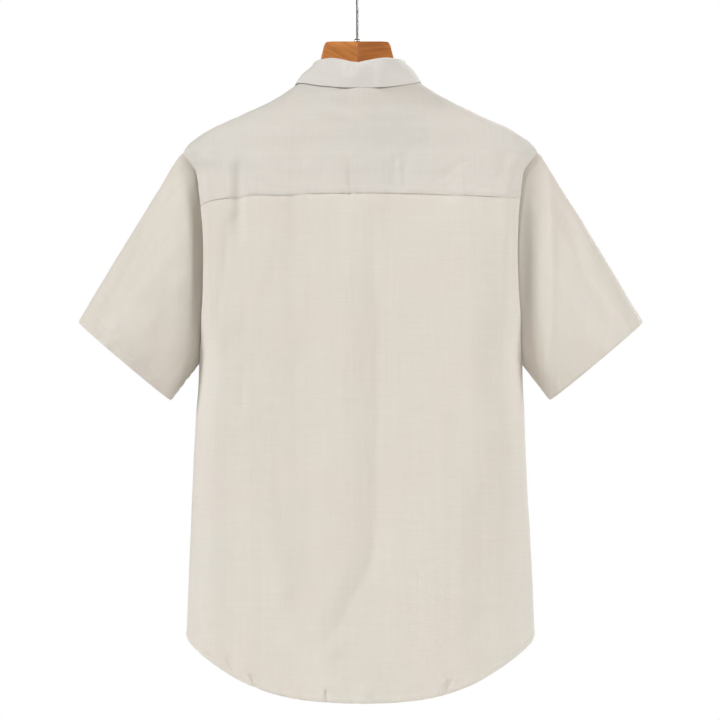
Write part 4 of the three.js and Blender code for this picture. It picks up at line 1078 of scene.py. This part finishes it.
def button_piece(name, node, seat, normal, shank):
    """The face above and its mirror below, joined round the rim, set up on the cloth's directions."""
    x, y, height, pits = button_face()
    top = height - pits * (height - BUTTON_HEIGHT * PIT_FLOOR)
    bottom = 0.5 * smooth(BUTTON_RADIUS * 0.8, BUTTON_RADIUS, np.hypot(x, y)) ** 2 + 0 * x
    side = unit(np.cross(Z_AXIS, normal))
    rise = np.cross(normal, side)
    axes = np.stack([side, rise, normal])
    layers = [np.stack([x, y, z + shank], axis=-1).reshape(-1, 3) @ axes + seat for z in (top, bottom)]
    count = x.shape[0]
    index = np.arange(count * count).reshape(count, count)
    squares = [index[:-1, 1:], index[:-1, :-1], index[1:, :-1], index[1:, 1:]]
    squares = np.stack(squares, axis=-1).reshape(-1, 4)
    rim = np.concatenate([index[0, :-1], index[:-1, -1], index[-1, :0:-1], index[:0:-1, 0]])
    after = np.roll(rim, -1)
    strip = np.stack([rim, after, after + count * count, rim + count * count], axis=1)
    faces = np.concatenate([squares, squares[:, ::-1] + count * count, strip])
    button = new_piece(name, np.concatenate(layers) + SHIRT_CENTRE, faces.tolist(), sharp=50)
    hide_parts(node)
    t = np.linspace(-1, 1, 13)[:, None]
    arch = BUTTON_HEIGHT + shank - THREAD_SINK + THREAD_ARCH * (1 - t * t)
    arch = arch - THREAD_DIVE * smooth(0.75, 1, np.abs(t))
    middle = seat + HOLE_OFFSET * side * t
    return button, [middle + rise * HOLE_OFFSET * row + normal * arch for row in (-1, 1)]


def thread_tube(name, paths, radius=THREAD_RADIUS, sides=8):
    """A round thread along each path: a ring square to the path at each of its points."""
    vertices, faces, start = [], [], 0
    angle = full_turn(sides)[:, None]
    for path in paths:
        along = unit(np.gradient(path, axis=0))
        helper = unit(np.cross(along, [0.31, 0.17, 0.93]))
        other = np.cross(along, helper)
        spokes = helper[:, None] * np.cos(angle) + other[:, None] * np.sin(angle)
        vertices.append((path[:, None] + radius * spokes).reshape(-1, 3))
        for kind in (tube_faces(len(path), sides), end_faces(len(path), sides)):
            faces += (kind + start).tolist()
        start += len(path) * sides
    return new_piece(name, np.concatenate(vertices) + SHIRT_CENTRE, faces, sharp=80)


front_middle, stand_middle = np.array([math.pi]), np.array([0.5])
button_places = []
for k, (button_level, shank) in enumerate(BUTTON_PLACES):
    spot = (front_middle, np.array([button_level]))
    out = body_normal(*spot)[0]
    seat = body_point(*spot)[0] + out * TOP_BAND_OUT
    button_places.append((f"placket_button_{k + 1}", f"button_{k + 1}", seat, out, shank))
spot = (front_middle, stand_middle)
neck_seat = (stand_point(*spot)[0], stand_normal(*spot)[0])
button_places.append(("neck_button", "button_stand", *neck_seat, NECK_BUTTON_SHANK))
buttons, button_threads = [], []
for place in button_places:
    button, threads = button_piece(*place)
    buttons.append(button)
    button_threads += threads
button_thread = thread_tube("button_threads", button_threads)

buttonhole_rows = []
for _, _, seat, out, _ in button_places[:3]:
    rise = unit(np.cross(out, np.cross(Z_AXIS, out)))
    side = np.cross(out, rise)
    ends = seat + rise * (np.array([-BUTTONHOLE_HALF, BUTTONHOLE_HALF])[:, None] - 1)
    for hand in (-1, 1):
        edge = ends + side * hand * BUTTONHOLE_APART + out * 0.12
        buttonhole_rows.append((edge, np.stack([out, out])))
buttonholes = stitch_rows("buttonhole_stitches", buttonhole_rows, 0.62, 1.5, 0.3, turned=True)
print("buttons", len(buttons), "triangles each", 2 * len(buttons[0].data.polygons))

# %% [markdown]
# ## Hanger
# Two halves of hardwood meet in the middle of a flat neck block and slope away under the shoulders. A
# half is a loft: outlines square to its length, each a rounded box whose top, bottom and squareness
# come from stations along it. The steel wire goes down into the joint through a small ferrule and
# bends over a circle above, which is where it hangs.

# %% Wooden halves
NECK_STATIONS = np.array([
    (0, -118, -170, 7, 5), (30, -118, -172, 7, 5), (38.5, -118.6, -174, 7, 5), (41.8, -122, -175, 7, 5),
    (44, -130, -176, 7, 4.5), (46.5, -141, -178, 7, 4), (47.3, -150, -180, 7, 3.5),
    (49.5, -160, -183, 7, 3.2), (56, -167, -188, 7, 3),
])
UNDER_CLOTH, ARM_HEIGHT, ARM_SQUARE, WOOD_HALF = 2.5, 27, 2.2, 7
TIP_LENGTH, TIP_HALF, JOINT_CHAMFER = 14, 10, 0.45
ARM_LEVELS = (-168.0, *(NECK_LEVEL + (TIP_LEVEL - NECK_LEVEL) * k / 6 for k in range(1, 5)))


def hanger_stations(side):
    """Columns x, top, bottom, half thickness and squareness. Along the arm the top lies 2.5 mm inside
    the ridge of the shoulder, and the arm ends in a rounded tip."""
    turn, levels = np.full(5, side * math.pi / 2), np.array(ARM_LEVELS)
    seat = body_point(turn, levels) - body_normal(turn, levels) * UNDER_CLOTH
    x, top, out = side * (SHIRT_CENTRE[0] + seat[:, 0]), seat[:, 2], np.linspace(0, 1, 5)
    bottom = top - ARM_HEIGHT + 7 * out
    arm = np.stack([x, top, bottom, WOOD_HALF + 0 * out, ARM_SQUARE + 0 * out], axis=1)
    slope = (arm[-1, 1] - arm[-2, 1]) / (arm[-1, 0] - arm[-2, 0])
    share = np.sin(np.linspace(0.15, 1, 8) * math.pi / 2)
    shrink = np.sqrt(1 - (share * 0.9) ** 2)
    middle = arm[-1, 1:3].mean() + slope * TIP_LENGTH * share
    tip = np.stack([
        arm[-1, 0] + TIP_LENGTH * share, middle + TIP_HALF * shrink, middle - TIP_HALF * shrink,
        WOOD_HALF * shrink, ARM_SQUARE + 0 * share,
    ], axis=1)
    x = np.concatenate([[0, 0.35, 0.8], np.linspace(5, 36, 8), np.linspace(36, 58, 34)[1:],
                        np.linspace(58, arm[-1, 0], 36)[1:]])
    rows = np.concatenate([NECK_STATIONS, arm])
    fine = np.stack([x] + [curve_through(rows[:, 0], rows[:, i], x) for i in (1, 2, 3, 4)], axis=1)
    fine[:, 1:4] += JOINT_CHAMFER * (1 - smooth(0, 0.8, x))[:, None] * [-1, 1, -1]
    return np.concatenate([fine, tip])


def loft(name, outlines, node):
    """Rings joined side by side, with a flat face at each end."""
    faces = tube_faces(*outlines.shape[:2]).tolist() + end_faces(*outlines.shape[:2]).tolist()
    piece = new_piece(name, outlines.reshape(-1, 3), faces, sharp=50)
    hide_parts(node)
    return piece


def wooden_half(name, node, side):
    """Outlines with y = half sign(c) |c|^(2 / square) and z the same in s about its middle."""
    x, top, bottom, half, square = hanger_stations(side).T[..., None]
    c, s = np.cos(full_turn(64)), np.sin(full_turn(64))
    y = half * np.sign(c) * np.abs(c) ** (2 / square)
    z = (top + bottom) / 2 + (top - bottom) / 2 * np.sign(s) * np.abs(s) ** (2 / square)
    outlines = np.stack([side * x + 0 * y, y, z], axis=-1)
    return loft(name, outlines if side > 0 else outlines[::-1], node)


wood_left = wooden_half("left_wooden_half", "hanger_left", 1)
wood_right = wooden_half("right_wooden_half", "hanger_right", -1)
hanger_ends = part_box("hanger_right")[0][0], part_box("hanger_left")[1][0]
print("hanger reaches from", *(round(end, 3) for end in hanger_ends))

# %% Wire hook and ferrule
WIRE, HOOK_RADIUS, HOOK_TOP, WIRE_SIDES = 1.5, 21.0, 1.8, 24
CAP_RINGS, CAP_REACH = 6, 0.98  # the rounded end stops just short of a point
HOOK_STEM = ((0, 0, -136), (0, 0, -110), (0, 0, -92), (0, 0, -76), (0, 0, -62), (-3.2, 0, -50))
FERRULE_SIDES, FERRULE_FOOT = 48, 117.7
FERRULE_PROFILE = np.array([  # radius, height
    (2.1, 0), (3.8, 0), (3.8, 0.4), (3.65, 0.7), (3.65, 2.0), (3.8, 2.3), (3.55, 2.8), (3.2, 3.0),
    (2.1, 3.0),
])


def between(t, t0, t1, start, end):
    return (t1 - t) / (t1 - t0) * start + (t - t0) / (t1 - t0) * end


def through_points(points, per_span=14):
    """A centripetal Catmull-Rom curve: each span is a cubic through its ends, and the knots are the
    root of the distance between points apart."""
    points = np.concatenate([[2 * points[0] - points[1]], points, [2 * points[-1] - points[-2]]])
    steps = np.linalg.norm(np.diff(points, axis=0), axis=1)
    knots = np.concatenate([[0], np.cumsum(np.sqrt(steps))])
    pieces = []
    for i in range(1, len(points) - 2):
        t0, t1, t2, t3 = knots[i - 1:i + 3]
        p0, p1, p2, p3 = points[i - 1:i + 3]
        t = np.linspace(t1, t2, per_span, endpoint=False)[:, None]
        near = [between(t, t0, t1, p0, p1), between(t, t1, t2, p1, p2), between(t, t2, t3, p2, p3)]
        wide = between(t, t0, t2, *near[:2]), between(t, t1, t3, *near[1:])
        pieces.append(between(t, t1, t2, *wide))
    return np.concatenate([*pieces, points[-2:-1]])


def hook_wire():
    """The wire's rings along its path, which lies in one plane, so every ring has the Y axis in it. The
    free end is rounded like a ball."""
    heel = np.arange(215, -36, -25) * DEGREE
    centre = HOOK_TOP - HOOK_RADIUS
    arc = np.stack([HOOK_RADIUS * np.cos(heel), 0 * heel, centre + HOOK_RADIUS * np.sin(heel)], axis=1)
    path = through_points(np.concatenate([HOOK_STEM, arc]))
    along = unit(np.gradient(path, axis=0))
    cap = np.linspace(0, 1, CAP_RINGS + 1)[1:, None] * math.pi / 2
    path = np.concatenate([path, path[-1] + along[-1] * WIRE * np.sin(cap) * CAP_REACH])
    radius = np.concatenate([np.full(len(along), WIRE), WIRE * np.cos(cap[:, 0] * CAP_REACH)])
    along = np.concatenate([along, np.repeat(along[-1:], CAP_RINGS, axis=0)])
    side = np.array([0.0, 1.0, 0.0])
    other = np.cross(along, side)
    angle = full_turn(WIRE_SIDES)[:, None]
    spokes = other[:, None] * np.cos(angle) + side * np.sin(angle)
    return path[:, None] + radius[:, None, None] * spokes[:, ::-1]


hook = loft("wire_hook", hook_wire(), "hanger_hook")
ferrule_radius, ferrule_height = FERRULE_PROFILE[:, :1], FERRULE_PROFILE[:, 1:] - FERRULE_FOOT
angle = full_turn(FERRULE_SIDES)
rings = [ferrule_radius * np.cos(angle), ferrule_radius * np.sin(angle), ferrule_height + 0 * angle]
points = np.stack(rings, axis=-1).reshape(-1, 3)
ferrule_faces = tube_faces(len(FERRULE_PROFILE) + 1, FERRULE_SIDES) % len(points)
ferrule = new_piece("steel_ferrule", points, ferrule_faces.tolist(), sharp=35)
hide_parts("hanger_ferrule")
print("hook triangles", 2 * len(hook.data.polygons))

# %% [markdown]
# ## Materials
# The cloth is a plain weave of linen-like yarn. Such yarn is uneven: some stretches are thick, which
# shows as fine streaks along both directions of the weave. The pattern follows the cloth's own map in
# metres, so it turns with each piece, and the yoke's streaks run across. Small helpers let the maths of
# a material be written as sums and products.

# %% Shader maths
class Signal:
    """A socket of a material's nodes on which sums and products can be written as in maths."""

    def __init__(self, recipe, socket):
        self.recipe, self.socket = recipe, socket

    def _with(self, operation, *values):
        return self.recipe.node("ShaderNodeMath", {"operation": operation}, dict(enumerate(values)))

    def __add__(self, other):
        return self._with("ADD", self, other)

    def __mul__(self, other):
        return self._with("MULTIPLY", self, other)

    __radd__, __rmul__ = __add__, __mul__

    def sine(self):
        return self._with("SINE", self)

    def between(self, low, high):
        """0 to 1 as the signal goes from low to high, smoothly."""
        settings = {"interpolation_type": "SMOOTHSTEP", "clamp": True}
        values = {0: self, 1: low, 2: high, 3: 0.0, 4: 1.0}
        return self.recipe.node("ShaderNodeMapRange", settings, values)


class Recipe:
    """A new material whose nodes are made by one method and whose surface is one Principled shader."""

    def __init__(self, name, **constants):
        self.material = bpy.data.materials.new(name)
        self.material.use_nodes = True
        self.tree = self.material.node_tree
        self.shader = self.tree.nodes["Principled BSDF"]
        for socket, value in constants.items():
            self.shader.inputs[socket.replace("_", " ")].default_value = value

    def node(self, kind, settings, values, output=0):
        """A node of that kind: its settings first, then the numbers or links of its sockets."""
        made_node = self.tree.nodes.new(kind)
        for setting, value in settings.items():
            setattr(made_node, setting, value)
        for socket, value in values.items():
            if isinstance(value, Signal):
                self.tree.links.new(value.socket, made_node.inputs[socket])
            else:
                made_node.inputs[socket].default_value = value
        return Signal(self, made_node.outputs[output])

    def feed(self, socket, signal):
        self.tree.links.new(signal.socket, self.shader.inputs[socket])
        return self

    def place(self, output="Object"):
        """Where a point lies: in metres on the object, or on the piece's own map with "UV"."""
        return self.node("ShaderNodeTexCoord", {}, {}, output)

    def vector(self, operation, vector, x, y, z):
        return self.node("ShaderNodeVectorMath", {"operation": operation}, {0: vector, 1: (x, y, z)})

    def scaled(self, vector, x, y, z=1.0):
        return self.vector("MULTIPLY", vector, x, y, z)

    def noise(self, vector, scale=1.0, detail=2.0, rough=0.5, bend=0.0):
        values = {"Vector": vector, "Scale": scale, "Detail": detail}
        values.update({"Roughness": rough, "Distortion": bend})
        return self.node("ShaderNodeTexNoise", {"noise_dimensions": "3D"}, values)

    def streaks(self, vector, stretch, detail=2.0, rough=0.5, bend=0.0):
        """Noise on a place stretched by a factor along each direction."""
        return self.noise(self.scaled(vector, *stretch), 1.0, detail, rough, bend)

    def blend(self, low, high, factor):
        return self.node("ShaderNodeMix", {"data_type": "RGBA"}, {0: factor, 6: low, 7: high}, 2)

    def bump(self, height, distance, strength=1.0):
        values = {"Height": height, "Distance": distance, "Strength": strength}
        return self.node("ShaderNodeBump", {}, values)


# %% Linen cloth
YARN = 0.00062


def linen(name, light, dark, seed):
    """Between two close colours by the thickness of the yarn. The weave is the product of two sine
    waves a yarn apart, the slubs are noise stretched 20 to 60 times along each direction. Slow patches
    are a little warmer, and long streaks along the warp a little paler: partly the warp's own tone,
    partly painted light and shade that stands in for soft vertical folds."""
    recipe = Recipe(name, Roughness=0.86, Sheen_Weight=0.32, Sheen_Roughness=0.45,
                    Specular_IOR_Level=0.2)
    place = recipe.vector("ADD", recipe.place("UV"), seed * 0.37, seed * 0.71, 0)
    warp = recipe.streaks(place, (620, 22), 3.0, 0.6)
    weft = recipe.streaks(place, (22, 620), 3.0, 0.6)
    long_warp, long_weft = recipe.streaks(place, (240, 5)), recipe.streaks(place, (7, 300))
    cloudy = recipe.noise(place, 14.0, 3.0, 0.55)
    yarn = warp * 0.26 + weft * 0.34 + long_warp * 0.14 + long_weft * 0.16 + cloudy * 0.10
    colour = recipe.blend(dark, light, yarn.between(0.19, 0.81))
    warm = recipe.noise(place, 9.0).between(0.40, 0.60)
    colour = recipe.blend(colour, recipe.scaled(colour, 1.014, 0.992, 0.996), warm)
    # Long paler streaks along the warp: partly the warp's own tone, partly painted light and shade of
    # soft vertical folds.
    pale = recipe.streaks(place, (34, 1.4)).between(0.38, 0.62)
    colour = recipe.blend(colour, recipe.scaled(colour, 1.024, 1.024, 1.024), pale)
    across = recipe.node("ShaderNodeSeparateXYZ", {}, {0: place})
    down = Signal(recipe, across.socket.node.outputs[1])
    turns = 2 * math.pi / YARN
    weave = (across * turns).sine() * (down * turns).sine()
    height = weave * 0.35 + warp * 0.9 + weft * 1.1 + long_weft * 0.5
    recipe.feed("Base Color", colour).feed("Normal", recipe.bump(height, 0.00022, 0.9))
    return recipe.material


body_linen = linen("body_linen", (0.739, 0.696, 0.624, 1), (0.669, 0.626, 0.550, 1), 1)
yoke_linen = linen("yoke_linen", (0.700, 0.666, 0.609, 1), (0.634, 0.600, 0.541, 1), 2)
collar_linen = linen("collar_linen", (0.740, 0.714, 0.670, 1), (0.674, 0.648, 0.600, 1), 3)

# %% Thread, buttons, wood and steel
thread_recipe = Recipe("sewing_thread", Roughness=0.7, Sheen_Weight=0.2)
twist = thread_recipe.noise(thread_recipe.place(), 2600.0, 1.0)
thread_colour = thread_recipe.blend((0.62, 0.585, 0.515, 1), (0.73, 0.70, 0.64, 1), twist)
thread_recipe.feed("Base Color", thread_colour)

button_recipe = Recipe("button_shell", Roughness=0.3, Coat_Weight=0.35, Coat_Roughness=0.15)
place = button_recipe.place()
marbled = button_recipe.noise(place, 210.0, 4.0, 0.6, 1.4).between(0.35, 0.6)
shell_colour = button_recipe.blend((0.52, 0.45, 0.35, 1), (0.80, 0.76, 0.68, 1), marbled)
shell_bump = button_recipe.bump(button_recipe.noise(place, 700.0), 0.00004, 0.6)
button_recipe.feed("Base Color", shell_colour).feed("Normal", shell_bump)


def varnished_wood(name, shift, tilt, dark, light):
    """Long streaks of grain, tilted a little from the length of the half, finer pores in them, and slow
    changes of tone."""
    recipe = Recipe(name, Roughness=0.5, Coat_Weight=0.08, Coat_Roughness=0.3, Specular_IOR_Level=0.3)
    turned = {"Vector": recipe.place(), "Rotation": (0, tilt, 0), "Location": shift}
    moved = recipe.node("ShaderNodeMapping", {}, turned)
    grain = recipe.streaks(moved, (9, 160, 190), 4.0, 0.6, 0.6)
    pores = recipe.streaks(moved, (60, 900, 1100), 2.0, 0.6)
    slow = recipe.streaks(moved, (10, 30, 26), 2.0, 0.5, 0.8)
    tone = grain * 0.5 + slow * 0.35 + pores * 0.15
    brown = recipe.blend(dark, light, tone.between(0.41, 0.59))
    recipe.feed("Base Color", brown).feed("Normal", recipe.bump(pores + grain * 0.5, 0.00012, 0.5))
    return recipe.material


left_wood = varnished_wood("varnished_wood_left", (0.31, 0.07, 0.11), 0.5,
                           (0.40, 0.132, 0.022, 1), (0.60, 0.222, 0.050, 1))
right_wood = varnished_wood("varnished_wood_right", (1.27, 0.42, 0.63), -0.1,
                            (0.32, 0.095, 0.013, 1), (0.48, 0.160, 0.030, 1))

steel_recipe = Recipe("bright_steel", Metallic=1.0)
drawn = steel_recipe.streaks(steel_recipe.place(), (900, 900, 60))
steel_colour = steel_recipe.blend((0.26, 0.27, 0.25, 1), (0.42, 0.43, 0.41, 1), drawn)
steel_recipe.feed("Base Color", steel_colour).feed("Roughness", drawn * 0.14 + 0.16)

# %% Put the materials on
FINISHES = (
    (body_linen, "cloth", (back, front, left_sleeve, right_sleeve, top_band, under_band_piece)),
    (yoke_linen, "cloth_yoke", (yoke,)),
    (collar_linen, "cloth_collar", (stand, leaf)),
    (thread_recipe.material, "cloth", (*thread_pieces.values(), button_thread, buttonholes)),
    (button_recipe.material, "button", buttons),
    (left_wood, "wood", (wood_left,)),
    (right_wood, "wood", (wood_right,)),
    (steel_recipe.material, "steel", (hook, ferrule)),
)
for material, slot, pieces in FINISHES:
    for piece in pieces:
        piece.data.materials.append(material)
print("materials:", len(bpy.data.materials))

# %% [markdown]
# ## How the shirt hangs
# The shirt hangs, and everything in it hangs on the two halves of the hanger, through the yoke.

# %% [markdown]
# ## Studio
# The picture this follows is a plain product shot: white all round, large soft lamps, and the camera
# level with the middle of the shirt, four metres behind it, so that hardly any perspective shows. A
# white floor below keeps light coming up under the hem.

# %% Camera, light and floor
CAMERA = (-0.0034, 4.0, -0.5231)
FRAME_WIDTH, FOCAL_PIXELS, SENSOR = 720, 3144, 36.0
AIM, LAMP_COLOUR = np.array([0, 0, -0.5]), (0.90, 0.94, 1.0)
LAMPS = (  # name, place, size in metres, power in watts
    ("lamp_left", (5.4, 2.7, 2.7), 2.0, 350),
    ("lamp_right", (-3.5, 1.7, 1.1), 1.6, 113),
    ("lamp_over_camera", (0.7, 4.2, 1.9), 1.4, 38),
    ("lamp_front", (-1.6, -3.0, 1.3), 1.6, 105),
)
ROOM_COLOUR, ROOM_STRENGTH = (1, 0.855, 0.63, 1), 0.26
FLOOR_RADIUS, FLOOR_LEVEL = 2.2, -1.35
studio = bpy.context.scene

lens = bpy.data.cameras.new("long_lens")
lens.sensor_fit, lens.sensor_width = "HORIZONTAL", SENSOR
lens.lens = FOCAL_PIXELS / FRAME_WIDTH * SENSOR
camera = bpy.data.objects.new("camera", lens)
camera.location, camera.rotation_euler = CAMERA, (math.pi / 2, 0, math.pi)
studio.collection.objects.link(camera)
studio.camera = camera


def soft_lamp(name, place, size, power):
    """A square lamp of that size at a place, turned so that its light goes where it is aimed."""
    light = bpy.data.lights.new(name, "AREA")
    light.shape, light.size, light.energy, light.color = "SQUARE", size, power, LAMP_COLOUR
    lamp = bpy.data.objects.new(name, light)
    lamp.location = place
    way = AIM - np.array(place)
    flat = math.hypot(way[0], way[1])
    lamp.rotation_euler = (math.atan2(flat, -way[2]), 0, math.atan2(-way[0], way[1]))
    studio.collection.objects.link(lamp)


for lamp in LAMPS:
    soft_lamp(*lamp)

world = bpy.data.worlds.new("white_room")
world.use_nodes = True
studio.world = world
room = world.node_tree
room_light, seen = room.nodes["Background"], room.nodes.new("ShaderNodeBackground")
backgrounds = ((room_light, ROOM_COLOUR, ROOM_STRENGTH), (seen, (1, 1, 1, 1), 1.0))
for background, colour, strength in backgrounds:
    background.inputs["Color"].default_value = colour
    background.inputs["Strength"].default_value = strength
rays, choose = room.nodes.new("ShaderNodeLightPath"), room.nodes.new("ShaderNodeMixShader")
links = (
    (rays.outputs["Is Camera Ray"], choose.inputs["Fac"]),
    (room_light.outputs[0], choose.inputs[1]),
    (seen.outputs[0], choose.inputs[2]),
    (choose.outputs[0], room.nodes["World Output"].inputs["Surface"]),
)
for source, target in links:
    room.links.new(source, target)

floor_mesh = bpy.data.meshes.new("pale_floor")
angle = full_turn(96)
edge = [FLOOR_RADIUS * np.cos(angle), FLOOR_RADIUS * np.sin(angle), 0 * angle + FLOOR_LEVEL]
floor_mesh.from_pydata(np.stack(edge, axis=1).tolist(), [], [list(range(len(angle)))])
floor = bpy.data.objects.new("pale_floor", floor_mesh)
studio.collection.objects.link(floor)
floor_recipe = Recipe("pale_floor_paint", Roughness=0.8)
speckle = floor_recipe.noise(floor_recipe.place(), 5.0)
floor_colour = floor_recipe.blend((0.86, 0.86, 0.86, 1), (0.90, 0.90, 0.90, 1), speckle)
floor_mesh.materials.append(floor_recipe.feed("Base Color", floor_colour).material)
studio.view_settings.view_transform = "Standard"

# %% Sizes for the record
print("triangles", sum(len(p.vertices) - 2 for o in made.values() for p in o.data.polygons))
